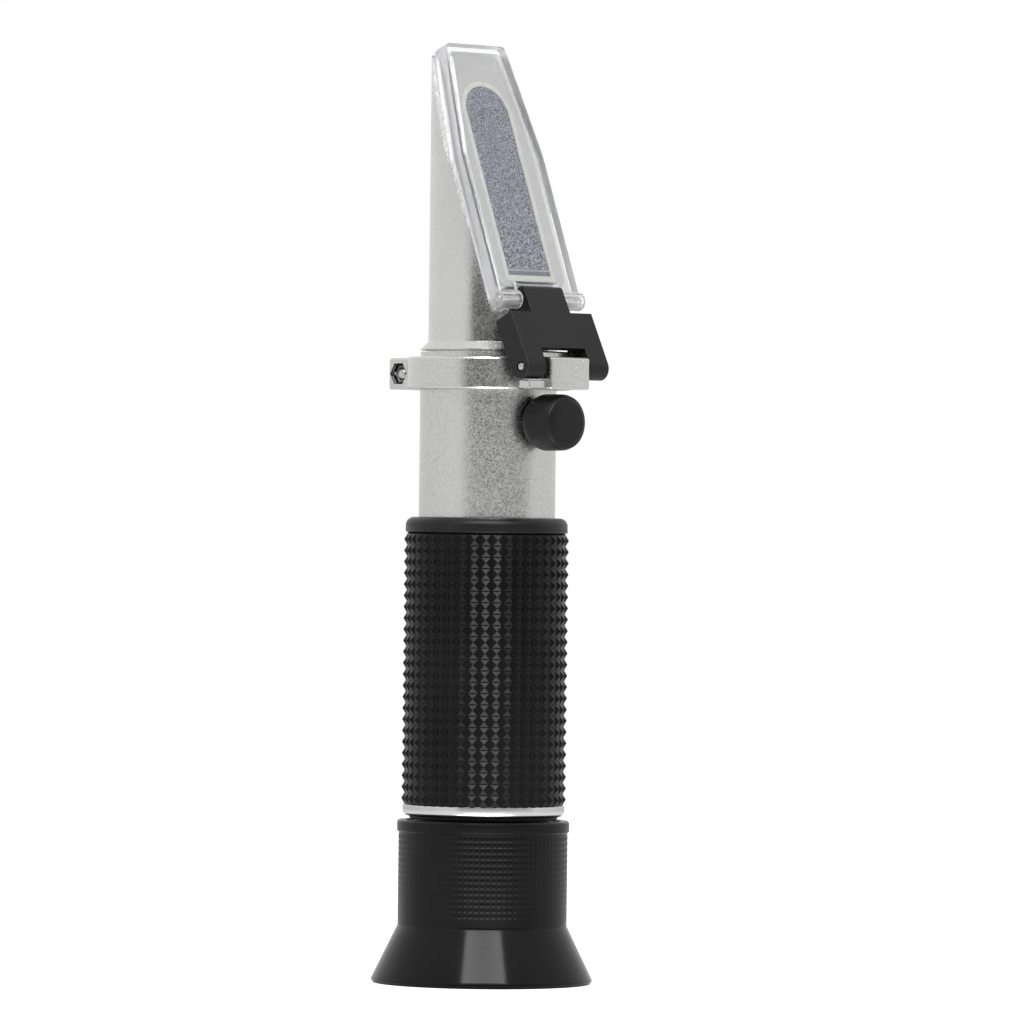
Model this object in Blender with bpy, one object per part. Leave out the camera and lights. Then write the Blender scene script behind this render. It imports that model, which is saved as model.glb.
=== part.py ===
"""Handheld brix refractometer, standing upright on its flared eyecup.

Metres, +Z up. The origin is on the tube's axis at the eyecup's rim. The light tube runs up the Z axis,
the slanted prism face looks towards +X, and both hinges of its cover run along Y. A prism in the head
throws the light line through the objective onto the reticle, which the eyepiece below magnifies.
"""

import math

import bmesh
import bpy
from mathutils import Matrix, Vector

mm = 0.001

# Gaps and drawing accuracy
fit = 0.3 * mm
glue_gap = 0.2 * mm
pin_gap = 0.25 * mm
overrun = 1.0 * mm
round_sides = 48
inner_sides = 32
small_sides = 20
arc_steps = 6
lens_steps = 4

# Main light tube
tube_radius = 12.37 * mm
tube_wall = 1.37 * mm
tube_length = 83.4 * mm

# Rubber eyecup, from its rim upwards
flare_reach = 4.8 * mm
rim_inset = 0.55 * mm
rim_lip = 1.2 * mm
flare_height = 10.5 * mm
cup_wall = 1.2 * mm
cup_height = 29.55 * mm
flare_wall = 1.5 * mm
cup_floor = 1.0 * mm
sight_step = 0.9 * mm
bead_height = 1.95 * mm
bead_proud = 0.28 * mm

# Turning ring inside the eyecup, with the helical groove that moves the lenses
ring_wall = 1.75 * mm
ring_floor = 1.5 * mm
focus_lead = 6.0 * mm
focus_turn = math.radians(120)
groove_depth = 1.0 * mm
groove_steps = 30

# Eyepiece tube, fixed to the main tube
neck_step = 1.06 * mm
neck_height = 0.8 * mm
eyepiece_wall = 0.8 * mm
eyepiece_lower_wall = 1.9 * mm
eyepiece_top = 17.0 * mm

# Lens cell, which slides in the eyepiece tube
cell_wall = 1.0 * mm
cell_lip = 1.0 * mm
lens_edge = 2.0 * mm
eye_lens_bulge = 1.0 * mm
field_lens_bulge = 0.8 * mm
spacer_wall = 0.7 * mm
spacer_length = 7.8 * mm
retainer_wall = 1.0 * mm
retainer_length = 2.0 * mm
retainer_inset = 1.0 * mm
key_radius = 1.0 * mm

# Trim ring, grip and collar
trim_height = 1.65 * mm
trim_wall = 2.03 * mm
trim_taper = 0.9 * mm
grip_wall = 2.26 * mm
tooth_depth = 0.5 * mm
tooth_pitch = 2.02 * mm
tooth_width = 2.13 * mm
collar_wall = 2.03 * mm
collar_height = 2.75 * mm
bare_length = 29.92 * mm
collar_round = 1.1 * mm

# Reticle, its holder and the baffle above it
holder_wall = 1.2 * mm
holder_lip = 1.5 * mm
holder_inset = 0.1 * mm
reticle_thick = 1.5 * mm
reticle_ring_wall = 1.2 * mm
reticle_ring_thick = 1.3 * mm
baffle_drop = 14.85 * mm
baffle_thick = 1.0 * mm
baffle_wall = 4.7 * mm

# Calibration screw, its bush and rubber cap, which lie along X below the clamp ring
calibration_drop = 12.65 * mm
bush_radius = 2.6 * mm
bush_flange = 3.4 * mm
bush_flange_thick = 2.5 * mm
bush_reach = 0.6 * mm
screw_radius = 1.3 * mm
screw_head_radius = 2.4 * mm
screw_head_thick = 1.8 * mm
screw_reach = 3.4 * mm
slot_width = 0.6 * mm
slot_depth = 0.7 * mm
cap_back_wall = 0.5 * mm
cap_swell = 0.9 * mm
cap_taper = 0.1 * mm
cap_round = 1.3 * mm
cap_length = 8.05 * mm
cap_end_wall = 2.3 * mm

# Sliding carriage of the objective, its guide and the bimetal strip that carries the lens
carriage_play = 1.4 * mm
carriage_flat = 1.6 * mm
carriage_below = 4.5 * mm
carriage_above = 2.5 * mm
carriage_wall = 2.4 * mm
guide_floor = 2.1 * mm
guide_lip = 0.2 * mm
strip_width = 4.0 * mm
strip_thick = 0.5 * mm
strip_lap = 1.2 * mm
strip_screw_radius = 0.5 * mm
strip_screw_head = 1.1 * mm
strip_screw_head_thick = 0.8 * mm
strip_screw_length = 3.5 * mm
objective_play = 1.4 * mm
objective_cell_wall = 0.6 * mm
objective_cell_length = 5.2 * mm
objective_lip = 0.7 * mm
objective_edge = 1.6 * mm
objective_bulge = 0.8 * mm

# Clamp ring with its lug, stop tab and split ears
clamp_drop = 0.95 * mm
clamp_height = 5.75 * mm
clamp_wall = 2.13 * mm
clamp_chamfer = 0.35 * mm
lug_length = 6.1 * mm
lug_width = 9.9 * mm
lug_inset = 0.05 * mm
pad_rise = 1.1 * mm
pad_length = 1.0 * mm
tab_setback = 1.0 * mm
tab_depth = 2.6 * mm
tab_length = 5.25 * mm
tab_height = 1.45 * mm
slit_width = 1.2 * mm
clamp_screw_inset = 2.5 * mm
clamp_screw_radius = 0.95 * mm
clamp_head_radius = 1.8 * mm
clamp_head_thick = 1.3 * mm
nut_flats = 3.2 * mm
nut_thick = 1.1 * mm

# Prism housing
flange_step = 1.37 * mm
housing_wall = 2.0 * mm
housing_height = 53.55 * mm
housing_top_wall = 2.5 * mm
flange_land = 0.15 * mm
spigot_length = 7.9 * mm
seal_thick = 0.9 * mm
seal_drop = 4.6 * mm
top_land = 3.576 * mm
cut_foot_height = 5.05 * mm

# Prism, its frame and its sealant on the slanted face
frame_thick = 1.65 * mm
frame_round = 2.2 * mm
frame_foot_bar = 1.05 * mm
frame_foot = 2.45 * mm
frame_side_bar = 2.0 * mm
frame_top_bar = 4.5 * mm
sealant_width = 0.9 * mm
prism_recess = 0.15 * mm
prism_lap = 0.6 * mm
prism_back = 2.4 * mm
prism_seat = 6.85 * mm

# Daylight plate
plate_thick = 1.3 * mm
plate_wall = 1.3 * mm
plate_inset = 0.8 * mm
plate_narrowing = 2.8 * mm
plate_overhang = 1.03 * mm
plate_kink = 28.2 * mm
plate_corner = 0.6 * mm
plate_pin_height = 9.1 * mm
plate_pin_depth = 0.85 * mm
plate_pin_radius = 0.75 * mm
knuckle_wall = 0.7 * mm
knuckle_proud = 0.3 * mm
knuckle_gap = 0.5 * mm
tongue_clear = 0.35 * mm

# Cover bracket between the plate and the lug
bracket_thick = 4.3 * mm
bracket_inset = 0.2 * mm
bracket_shoulder = 3.5 * mm
tongue_width = 9.8 * mm
tongue_end = 2.0 * mm
tongue_round = 0.9 * mm
notch_side = 0.7 * mm
notch_radius = 3.6 * mm
notch_relief = 4.9 * mm
notch_lip = 2.35 * mm
bracket_pin_radius = 0.7 * mm
bracket_pin_setback = 2.6 * mm
bracket_pin_height = 3.9 * mm
pin_end_inset = 0.15 * mm

# Radii, worked out from the tube outwards and inwards
tube_bore = tube_radius - tube_wall
sleeve_bore = tube_radius + fit
trim_radius = sleeve_bore + trim_wall
grip_tip_radius = sleeve_bore + grip_wall
collar_radius = sleeve_bore + collar_wall
clamp_radius = sleeve_bore + clamp_wall
neck_radius = tube_radius + neck_step
eyepiece_bore = tube_bore - fit - eyepiece_wall
eyepiece_radius = eyepiece_bore + eyepiece_lower_wall
turn_ring_bore = eyepiece_radius + fit
turn_ring_radius = turn_ring_bore + ring_wall
cup_bore = turn_ring_radius + fit
cup_radius = cup_bore + cup_wall
rim_radius = cup_radius + flare_reach
sight_radius = eyepiece_bore - sight_step
housing_radius = tube_radius - flange_step
baffle_hole = tube_bore - fit - baffle_wall
carriage_radius = tube_bore - carriage_play
carriage_half_width = carriage_radius - carriage_flat
carriage_bore = carriage_radius - carriage_wall
guide_hole = carriage_bore - guide_lip
objective_cell_radius = carriage_bore - objective_play
strip_hole = objective_cell_radius - strip_lap

# Heights along the axis
neck_z = cup_height + fit
neck_top = neck_z + neck_height
tube_foot = neck_top + fit
tube_top = tube_foot + tube_length
trim_top = tube_foot + trim_height
grip_z = trim_top + fit
collar_z = tube_top - bare_length - collar_height
grip_length = collar_z - fit - grip_z
eyepiece_end = tube_foot + eyepiece_top
clamp_top = tube_top - clamp_drop
clamp_z = clamp_top - clamp_height
housing_z = tube_top + fit
housing_top = housing_z + housing_height
calibration_z = tube_top - calibration_drop

# Reach and width of the lug, the tab and the pieces of the cover
lug_reach = clamp_radius + lug_length
pad_reach = clamp_radius + pad_length
tab_reach = lug_reach - tab_setback
tab_side = lug_width / 2 + tab_length
plate_half_width = housing_radius - plate_inset
plate_top_half = plate_half_width - plate_narrowing
knuckle_radius = plate_pin_radius + pin_gap + knuckle_wall
knuckle_span = 2 * (plate_half_width + knuckle_proud)
bracket_width = knuckle_span - 2 * bracket_inset
notch_width = lug_width + 2 * notch_side

# Places across the slanted face, out of it and up it
slant = math.atan((2 * housing_radius - top_land) / (housing_height - cut_foot_height))
slant_sin = math.sin(slant)
slant_cos = math.cos(slant)
cut_foot_z = housing_z + cut_foot_height
cut_out = housing_radius * slant_cos + cut_foot_z * slant_sin
cut_foot = cut_foot_z * slant_cos - housing_radius * slant_sin
frame_low = cut_out + fit
frame_high = frame_low + frame_thick
plate_inside = frame_high + fit
plate_front = plate_inside + plate_thick
plate_back = cut_out + fit
pin_out = plate_front - plate_pin_depth
plate_pin_z = housing_z + plate_pin_height
plate_pin_x = (pin_out - plate_pin_z * slant_sin) / slant_cos
pin_up = plate_pin_z * slant_cos - plate_pin_x * slant_sin
face_top_up = (housing_top - cut_out * slant_sin) / slant_cos
plate_end = face_top_up + plate_overhang
frame_foot_up = pin_up + frame_foot
frame_margin = plate_wall + fit + glue_gap
frame_top_up = plate_end - frame_margin
seal_band = 2 * glue_gap + sealant_width
window_half_width = plate_half_width - frame_margin - frame_side_bar - seal_band
window_foot_up = frame_foot_up + frame_foot_bar + seal_band
window_top_up = frame_top_up - frame_top_bar - seal_band
window_arc_up = window_top_up - window_half_width

# The bracket leans from the lug's pin to the plate's pin
bracket_pin_x = lug_reach - bracket_pin_setback
bracket_pin_z = clamp_z + bracket_pin_height
lean = math.atan2(bracket_pin_x - plate_pin_x, plate_pin_z - bracket_pin_z)
pin_distance = math.hypot(bracket_pin_x - plate_pin_x, plate_pin_z - bracket_pin_z)
bracket_pivot = Vector((bracket_pin_x, 0, bracket_pin_z))
plate_pivot = Vector((plate_pin_x, 0, plate_pin_z))


def in_plan(a, b, h):
    """Outline in X and Y, height along Z."""
    return Vector((a, b, h))


def in_side(a, b, h):
    """Outline in X and Z, height along Y."""
    return Vector((a, h, b))


def in_front(a, b, h):
    """Outline in Y and Z, height along X."""
    return Vector((h, a, b))


def on_slant(a, b, h):
    """Outline across and up the slanted face, height out of it."""
    return Vector((h * slant_cos - b * slant_sin, a, h * slant_sin + b * slant_cos))


def on_bracket(a, b, h):
    """Outline out of the bracket's face and up from its pin, height along Y."""
    out = Vector((math.cos(lean), 0, math.sin(lean)))
    up = Vector((-math.sin(lean), 0, math.cos(lean)))
    return bracket_pivot + a * out + b * up + Vector((0, h, 0))


def finish(name, colour, roughness, metallic=0.0, clear=0.0):
    """A material for one piece."""
    made = bpy.data.materials.new(name)
    made.use_nodes = True
    shader = made.node_tree.nodes["Principled BSDF"]
    shader.inputs["Base Color"].default_value = (*colour, 1.0)
    shader.inputs["Roughness"].default_value = roughness
    shader.inputs["Metallic"].default_value = metallic
    shader.inputs["Transmission Weight"].default_value = clear
    made.diffuse_color = (*colour, 1.0)
    return made


aluminium_colour = (0.74, 0.74, 0.73)
steel_colour = (0.55, 0.54, 0.52)
black_colour = (0.02, 0.02, 0.022)
charcoal_colour = (0.04, 0.04, 0.042)
brass_colour = (0.72, 0.55, 0.25)
glass_colour = (0.85, 0.88, 0.9)


def aluminium(name):
    return finish(name, aluminium_colour, 0.35, 1.0)


def steel(name):
    return finish(name, steel_colour, 0.3, 1.0)


def brass(name):
    return finish(name, brass_colour, 0.35, 1.0)


def black_metal(name):
    return finish(name, black_colour, 0.5, 0.3)


def black_rubber(name):
    return finish(name, black_colour, 0.6)


def glass(name):
    return finish(name, glass_colour, 0.03, 0.0, 1.0)


def piece_from(name, shape, material):
    """One object from a closed shape, with its faces turned outwards and its round faces smooth."""
    bmesh.ops.recalc_face_normals(shape, faces=shape.faces)
    mesh = bpy.data.meshes.new(name)
    shape.to_mesh(mesh)
    shape.free()
    mesh.shade_smooth()
    mesh.set_sharp_from_angle(angle=math.radians(30))
    mesh.materials.append(material)
    made = bpy.data.objects.new(name, mesh)
    bpy.context.scene.collection.objects.link(made)
    return made


def stacked(name, sections, place, material):
    """The skin over outlines of equal length, each at its own height, closed at both ends."""
    shape = bmesh.new()
    levels = [[shape.verts.new(place(a, b, h)) for a, b in outline] for outline, h in sections]
    shape.faces.new(levels[0])
    shape.faces.new(levels[-1])
    for lower, upper in zip(levels, levels[1:]):
        for i in range(len(lower)):
            j = (i + 1) % len(lower)
            shape.faces.new((lower[i], lower[j], upper[j], upper[i]))
    return piece_from(name, shape, material)


def extrusion(name, outline, low, high, place, material):
    """The outline carried from height low to height high."""
    return stacked(name, [(outline, low), (outline, high)], place, material)


def turned(name, profile, material, place=in_plan, centre=(0, 0), sides=round_sides):
    """The closed profile of radius and height turned about its centre."""
    shape = bmesh.new()
    rings = []
    for radius, height in profile:
        if radius == 0:
            rings.append([shape.verts.new(place(centre[0], centre[1], height))] * sides)
            continue
        turns = [2 * math.pi * k / sides for k in range(sides)]
        ring = [(centre[0] + radius * math.cos(t), centre[1] + radius * math.sin(t)) for t in turns]
        rings.append([shape.verts.new(place(a, b, height)) for a, b in ring])
    for i, lower in enumerate(rings):
        upper = rings[(i + 1) % len(rings)]
        for k in range(sides):
            n = (k + 1) % sides
            corners = dict.fromkeys((lower[k], lower[n], upper[n], upper[k]))
            if len(corners) > 2:
                shape.faces.new(corners)
    return piece_from(name, shape, material)


def turned_inside(name, profile, material):
    """A piece turned about the tube's axis, out of sight, with fewer sides."""
    return turned(name, profile, material, sides=inner_sides)


def box(name, low, high, material, place=in_plan):
    outline = [(low[0], low[1]), (high[0], low[1]), (high[0], high[1]), (low[0], high[1])]
    return extrusion(name, outline, low[2], high[2], place, material)


def tube_profile(inner, outer, low, high):
    return [(inner, low), (outer, low), (outer, high), (inner, high)]


def rod_profile(radius, low, high):
    return [(0, low), (radius, low), (radius, high), (0, high)]


def arc(radius, centre, start, end, steps=arc_steps):
    """Points on an arc, with its two ends."""
    turns = [start + (end - start) * k / steps for k in range(steps + 1)]
    return [(centre[0] + radius * math.cos(t), centre[1] + radius * math.sin(t)) for t in turns]


def lens_profile(radius, low, edge, bulge_low, bulge_high, steps=lens_steps):
    """Half the section of a lens whose rim starts at height low."""

    def bulge(share):
        return 1 - share * share

    shares = [k / steps for k in range(steps + 1)]
    under = [(radius * s, low - bulge_low * bulge(s)) for s in shares]
    over = [(radius * s, low + edge + bulge_high * bulge(s)) for s in reversed(shares)]
    return under + over


cutter_finish = finish("cutter", (1.0, 0.2, 0.2), 0.5)


def boolean(piece, other, operation):
    step = piece.modifiers.new(other.name, "BOOLEAN")
    step.operation = operation
    step.solver = "EXACT"
    step.object = other
    other.hide_render = True
    other.display_type = "WIRE"


def cut(piece, *cutters):
    for cutter in cutters:
        boolean(piece, cutter, "DIFFERENCE")


def join(piece, *others):
    for other in others:
        boolean(piece, other, "UNION")


def axis_empty(name, pivot, parent=None):
    """An empty on a joint's axis, which carries the pieces that move with it."""
    empty = bpy.data.objects.new(name, None)
    empty.location = pivot
    bpy.context.scene.collection.objects.link(empty)
    if parent:
        empty.parent = parent
        empty.matrix_parent_inverse = Matrix.Translation(-parent.location)
    return empty


def carry(empty, *pieces):
    """Parents pieces and their Boolean partners to the empty, with each origin on its axis."""
    pivot = empty.location
    for piece in pieces:
        partners = [step.object for step in piece.modifiers if step.type == "BOOLEAN"]
        for each in [piece, *partners]:
            each.data.transform(Matrix.Translation(-pivot))
            each.location = pivot
            each.parent = empty
            each.matrix_parent_inverse = Matrix.Translation(-pivot)


def make_eyecup():
    """Rubber cup: a flared shade below, a barrel that grips the turning ring above."""
    lip = rim_lip / 2
    flare_inside = cup_bore - flare_wall / 2
    floor_z = flare_height
    bead_z = cup_height - bead_height
    bead = cup_radius + bead_proud
    profile = [
        (rim_radius - rim_inset - flare_wall, 0),
        (rim_radius - rim_inset, 0),
        (rim_radius, lip),
        (rim_radius - rim_inset / 2, rim_lip),
        (cup_radius, flare_height),
        (cup_radius, bead_z - bead_proud),
        (bead, bead_z),
        (bead, cup_height - bead_proud),
        (cup_radius, cup_height),
        (cup_bore, cup_height),
        (cup_bore, floor_z + cup_floor),
        (sight_radius, floor_z + cup_floor),
        (sight_radius, floor_z),
        (flare_inside, floor_z),
        (rim_radius - flare_wall, rim_lip),
    ]
    return turned("eyecup", profile, black_rubber("eyecup"))


def helical_channel(name, inner, outer, width, middle, lead, reach, start):
    """A square channel that climbs by lead in each turn, for reach either side of its start."""
    shape = bmesh.new()
    sections = []
    for k in range(groove_steps + 1):
        turn = reach * (2 * k / groove_steps - 1)
        z = middle - lead * turn / (2 * math.pi)
        along = Vector((math.cos(start + turn), math.sin(start + turn), 0))
        corners = [(inner, z - width / 2), (outer, z - width / 2)]
        corners += [(outer, z + width / 2), (inner, z + width / 2)]
        sections.append([shape.verts.new(r * along + Vector((0, 0, h))) for r, h in corners])
    for near, far in zip(sections, sections[1:]):
        for i in range(4):
            j = (i + 1) % 4
            shape.faces.new((near[i], near[j], far[j], far[i]))
    shape.faces.new(sections[0])
    shape.faces.new(sections[-1])
    return piece_from(name, shape, cutter_finish)


turn_ring_z = flare_height + cup_floor + fit
turn_ring_floor_top = turn_ring_z + ring_floor
focus_travel = focus_lead * focus_turn / (2 * math.pi)
cell_z = turn_ring_floor_top + fit + focus_travel
key_z = cell_z + cell_lip + lens_edge + 2 * fit + spacer_length / 2
groove_radius = turn_ring_bore + groove_depth
key_azimuth = math.pi / 2


def make_focus_ring():
    """Ring glued into the eyecup. Its groove drives the key of the lens cell up and down."""
    top = cup_height - fit
    profile = [
        (sight_radius, turn_ring_z),
        (turn_ring_radius, turn_ring_z),
        (turn_ring_radius, top),
        (turn_ring_bore, top),
        (turn_ring_bore, turn_ring_floor_top),
        (sight_radius, turn_ring_floor_top),
    ]
    ring = turned_inside("focus_ring", profile, black_metal("focus_ring"))
    width = 2 * (key_radius + fit)
    reach = focus_turn + 2 * width / turn_ring_bore
    inner = turn_ring_bore - overrun
    groove = helical_channel(
        "focus_groove", inner, groove_radius, width, key_z, focus_lead, reach, key_azimuth
    )
    cut(ring, groove)
    return ring


def make_eyepiece_tube():
    """Black tube screwed into the main tube, with the neck that shows and a slot for the key."""
    upper = tube_bore - fit
    foot = turn_ring_floor_top + fit
    profile = [
        (eyepiece_bore, foot),
        (eyepiece_radius, foot),
        (eyepiece_radius, neck_z),
        (neck_radius, neck_z),
        (neck_radius, neck_top),
        (upper, neck_top),
        (upper, eyepiece_end),
        (eyepiece_bore, eyepiece_end),
    ]
    tube = turned("eyepiece_tube", profile, black_metal("eyepiece_tube"))
    half_width = key_radius + fit
    half_length = half_width + focus_travel
    low = (-half_width, eyepiece_bore - overrun, key_z - half_length)
    high = (half_width, eyepiece_radius + overrun, key_z + half_length)
    cut(tube, box("key_slot", low, high, cutter_finish))
    return tube


cell_radius = eyepiece_bore - fit
cell_bore = cell_radius - cell_wall
lens_radius = cell_bore - fit
eye_lens_z = cell_z + cell_lip + fit
spacer_z = eye_lens_z + lens_edge + fit
field_lens_z = spacer_z + spacer_length + fit
retainer_z = field_lens_z + lens_edge + fit
cell_top = retainer_z + retainer_length + retainer_inset


def make_lens_cell():
    """Sliding cell with its key, the two eyepiece lenses, their spacer and the retaining ring."""
    lip_bore = lens_radius - spacer_wall
    profile = [
        (lip_bore, cell_z),
        (cell_radius, cell_z),
        (cell_radius, cell_top),
        (cell_bore, cell_top),
        (cell_bore, cell_z + cell_lip),
        (lip_bore, cell_z + cell_lip),
    ]
    cell = turned_inside("lens_cell", profile, black_metal("lens_cell"))
    hole = rod_profile(key_radius + fit, cell_bore - overrun, cell_radius + overrun)
    cut(cell, turned_key("key_hole", hole, cutter_finish))
    key_rod = rod_profile(key_radius, cell_bore + fit / 2, groove_radius - fit)
    key = turned_key("focus_key", key_rod, brass("focus_key"))
    eye = lens_profile(lens_radius, eye_lens_z, lens_edge, eye_lens_bulge, eye_lens_bulge)
    eye_lens = turned_inside("eye_lens", eye, glass("eye_lens"))
    spacer_ring = tube_profile(lip_bore, lens_radius, spacer_z, spacer_z + spacer_length)
    spacer = turned_inside("lens_spacer", spacer_ring, black_metal("lens_spacer"))
    field = lens_profile(lens_radius, field_lens_z, lens_edge, 0, field_lens_bulge)
    field_lens = turned_inside("field_lens", field, glass("field_lens"))
    inner = lens_radius - retainer_wall
    ring = tube_profile(inner, lens_radius, retainer_z, retainer_z + retainer_length)
    retainer = turned_inside("lens_retainer", ring, black_metal("lens_retainer"))
    return [cell, key, eye_lens, spacer, field_lens, retainer]


def turned_key(name, profile, material):
    """A rod that points along +Y at the key's height."""
    return turned(name, profile, material, in_side, (0, key_z), small_sides)


def make_trim_ring():
    """Polished ring below the grip, narrower at its foot."""
    profile = [
        (sleeve_bore, tube_foot),
        (trim_radius - trim_taper, tube_foot),
        (trim_radius, tube_foot + trim_taper),
        (trim_radius, trim_top),
        (sleeve_bore, trim_top),
    ]
    return turned("trim_ring", profile, steel("trim_ring"))


def make_grip_sleeve():
    """Moulded sleeve whose outside is rows of four-sided pyramids."""
    valley = grip_tip_radius - tooth_depth
    rows = round(grip_length / tooth_pitch)
    columns = round(2 * math.pi * grip_tip_radius / tooth_width)
    pitch = grip_length / rows
    shape = bmesh.new()

    def ring(radius, z, shift_share=0.0):
        turns = [2 * math.pi * (k + shift_share) / columns for k in range(columns)]
        return [shape.verts.new((radius * math.cos(t), radius * math.sin(t), z)) for t in turns]

    def bridge(first, second):
        for k in range(columns):
            n = (k + 1) % columns
            shape.faces.new((first[k], first[n], second[n], second[k]))

    valleys = [ring(valley, grip_z + pitch * row) for row in range(rows + 1)]
    for row in range(rows):
        tips = ring(grip_tip_radius, grip_z + pitch * (row + 0.5), 0.5)
        for k, tip in enumerate(tips):
            n = (k + 1) % columns
            corners = [valleys[row][k], valleys[row][n], valleys[row + 1][n], valleys[row + 1][k]]
            for i in range(4):
                shape.faces.new((corners[i], corners[(i + 1) % 4], tip))
    bore = [ring(sleeve_bore, grip_z), ring(sleeve_bore, grip_z + grip_length)]
    bridge(valleys[0], bore[0])
    bridge(bore[0], bore[1])
    bridge(bore[1], valleys[-1])
    return piece_from("grip_sleeve", shape, black_rubber("grip_sleeve"))


def make_grip_collar():
    """Black ring that closes the grip at its top."""
    top = collar_z + collar_height
    centre = (collar_radius - collar_round, top - collar_round)
    profile = [(sleeve_bore, collar_z), (collar_radius, collar_z)]
    profile += arc(collar_round, centre, 0, math.pi / 2)
    profile += [(sleeve_bore, top)]
    return turned("grip_collar", profile, black_metal("grip_collar"))


def make_main_tube():
    """Aluminium light tube, with a side hole for the calibration bush."""
    profile = tube_profile(tube_bore, tube_radius, tube_foot, tube_top)
    tube = turned("main_tube", profile, aluminium("main_tube"))
    hole = rod_profile(bush_radius + fit, tube_bore - overrun, tube_radius + overrun)
    cut(tube, turned_calibration("bush_hole", hole, cutter_finish))
    return tube


def turned_calibration(name, profile, material, sides=small_sides):
    """A shape turned about the calibration screw's axis, which runs along X."""
    return turned(name, profile, material, in_front, (0, calibration_z), sides)


def make_reticle():
    """Holder on the eyepiece tube's end, the scale disc and the ring that keeps it."""
    outer = tube_bore - fit
    bore = outer - holder_wall
    disc_radius = bore - fit
    lip_bore = disc_radius - reticle_ring_wall
    z = eyepiece_end + fit
    disc_z = z + holder_lip + fit
    disc_top = disc_z + reticle_thick
    holder_top = disc_top + fit + reticle_ring_thick + holder_inset
    profile = [
        (lip_bore, z),
        (outer, z),
        (outer, holder_top),
        (bore, holder_top),
        (bore, z + holder_lip),
        (lip_bore, z + holder_lip),
    ]
    turned_inside("reticle_holder", profile, black_metal("reticle_holder"))
    turned_inside("reticle", rod_profile(disc_radius, disc_z, disc_top), glass("reticle"))
    ring = tube_profile(lip_bore, disc_radius, disc_top + fit, disc_top + fit + reticle_ring_thick)
    turned_inside("reticle_ring", ring, brass("reticle_ring"))


def make_baffle():
    """Blackened ring that stops stray light, well below the carriage guide."""
    z = carriage_z - fit - guide_floor - baffle_drop
    profile = tube_profile(baffle_hole, tube_bore - fit, z, z + baffle_thick)
    turned_inside("light_baffle", profile, black_metal("light_baffle"))


carriage_z = calibration_z - carriage_below
carriage_top = calibration_z + carriage_above
strip_z = carriage_top + fit
strip_top = strip_z + strip_thick
strip_screw_x = -(carriage_bore + carriage_radius) / 2


def make_carriage_guide():
    """Ring fixed in the tube, whose two cheeks let the carriage slide only along X."""
    outer = tube_bore - fit
    ring_z = carriage_z - fit - guide_floor
    profile = tube_profile(guide_hole, outer, ring_z, carriage_top)
    guide = turned_inside("carriage_guide", profile, black_metal("carriage_guide"))
    half = carriage_half_width + fit
    low = (-outer - overrun, -half, carriage_z - fit)
    high = (outer + overrun, half, carriage_top + overrun)
    cut(guide, box("carriage_way", low, high, cutter_finish))


def make_carriage():
    """Carriage that the calibration screw shifts, with the lens hung from a bimetal strip."""
    turns = [2 * math.pi * k / inner_sides for k in range(inner_sides)]
    limit = carriage_half_width
    outline = []
    for t in turns:
        side = carriage_radius * math.sin(t)
        outline.append((carriage_radius * math.cos(t), max(-limit, min(limit, side))))
    carriage = extrusion(
        "lens_carriage", outline, carriage_z, carriage_top, in_plan, black_metal("lens_carriage")
    )
    bore = rod_profile(carriage_bore, carriage_z - overrun, carriage_top + overrun)
    cross = rod_profile(screw_radius + fit, carriage_bore - overrun, carriage_radius + overrun)
    screw_hole = rod_profile(
        strip_screw_radius + pin_gap, carriage_top - strip_screw_length, carriage_top + overrun
    )
    cut(
        carriage,
        turned_inside("carriage_bore", bore, cutter_finish),
        turned_calibration("carriage_cross_hole", cross, cutter_finish),
        turned_strip("strip_screw_hole", screw_hole, cutter_finish),
    )
    eye = rod_profile(objective_cell_radius - pin_gap, strip_z, strip_top)
    strip = turned_inside("bimetal_strip", eye, brass("bimetal_strip"))
    low = (-carriage_radius + fit, -strip_width / 2, strip_z)
    high = (-strip_hole - pin_gap, strip_width / 2, strip_top)
    join(strip, box("strip_arm", low, high, cutter_finish))
    eye_hole = rod_profile(strip_hole, strip_z - overrun, strip_top + overrun)
    fixing = rod_profile(strip_screw_radius + pin_gap, strip_z - overrun, strip_top + overrun)
    cut(
        strip,
        turned_inside("strip_eye_hole", eye_hole, cutter_finish),
        turned_strip("strip_fixing_hole", fixing, cutter_finish),
    )
    head_z = strip_top + fit
    head_top = head_z + strip_screw_head_thick
    profile = [
        (0, head_z - strip_screw_length),
        (strip_screw_radius, head_z - strip_screw_length),
        (strip_screw_radius, head_z),
        (strip_screw_head, head_z),
        (strip_screw_head, head_top),
        (0, head_top),
    ]
    strip_screw = turned_strip("strip_screw", profile, steel("strip_screw"))
    return [carriage, strip, strip_screw, *make_objective()]


def turned_strip(name, profile, material):
    return turned(name, profile, material, in_plan, (strip_screw_x, 0), small_sides)


def make_objective():
    """Objective lens in its cell, which hangs from the strip's eye."""
    bore = objective_cell_radius - objective_cell_wall
    lens = bore - fit
    lip_bore = lens - objective_cell_wall
    z = carriage_top - objective_cell_length
    profile = [
        (lip_bore, z),
        (objective_cell_radius, z),
        (objective_cell_radius, carriage_top),
        (bore, carriage_top),
        (bore, z + objective_lip),
        (lip_bore, z + objective_lip),
    ]
    cell = turned_inside("objective_cell", profile, black_metal("objective_cell"))
    lens_z = z + objective_lip + fit
    section = lens_profile(lens, lens_z, objective_edge, objective_bulge, objective_bulge)
    return [cell, turned_inside("objective_lens", section, glass("objective_lens"))]


bush_face = sleeve_bore
bush_end = bush_face + bush_flange_thick


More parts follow.
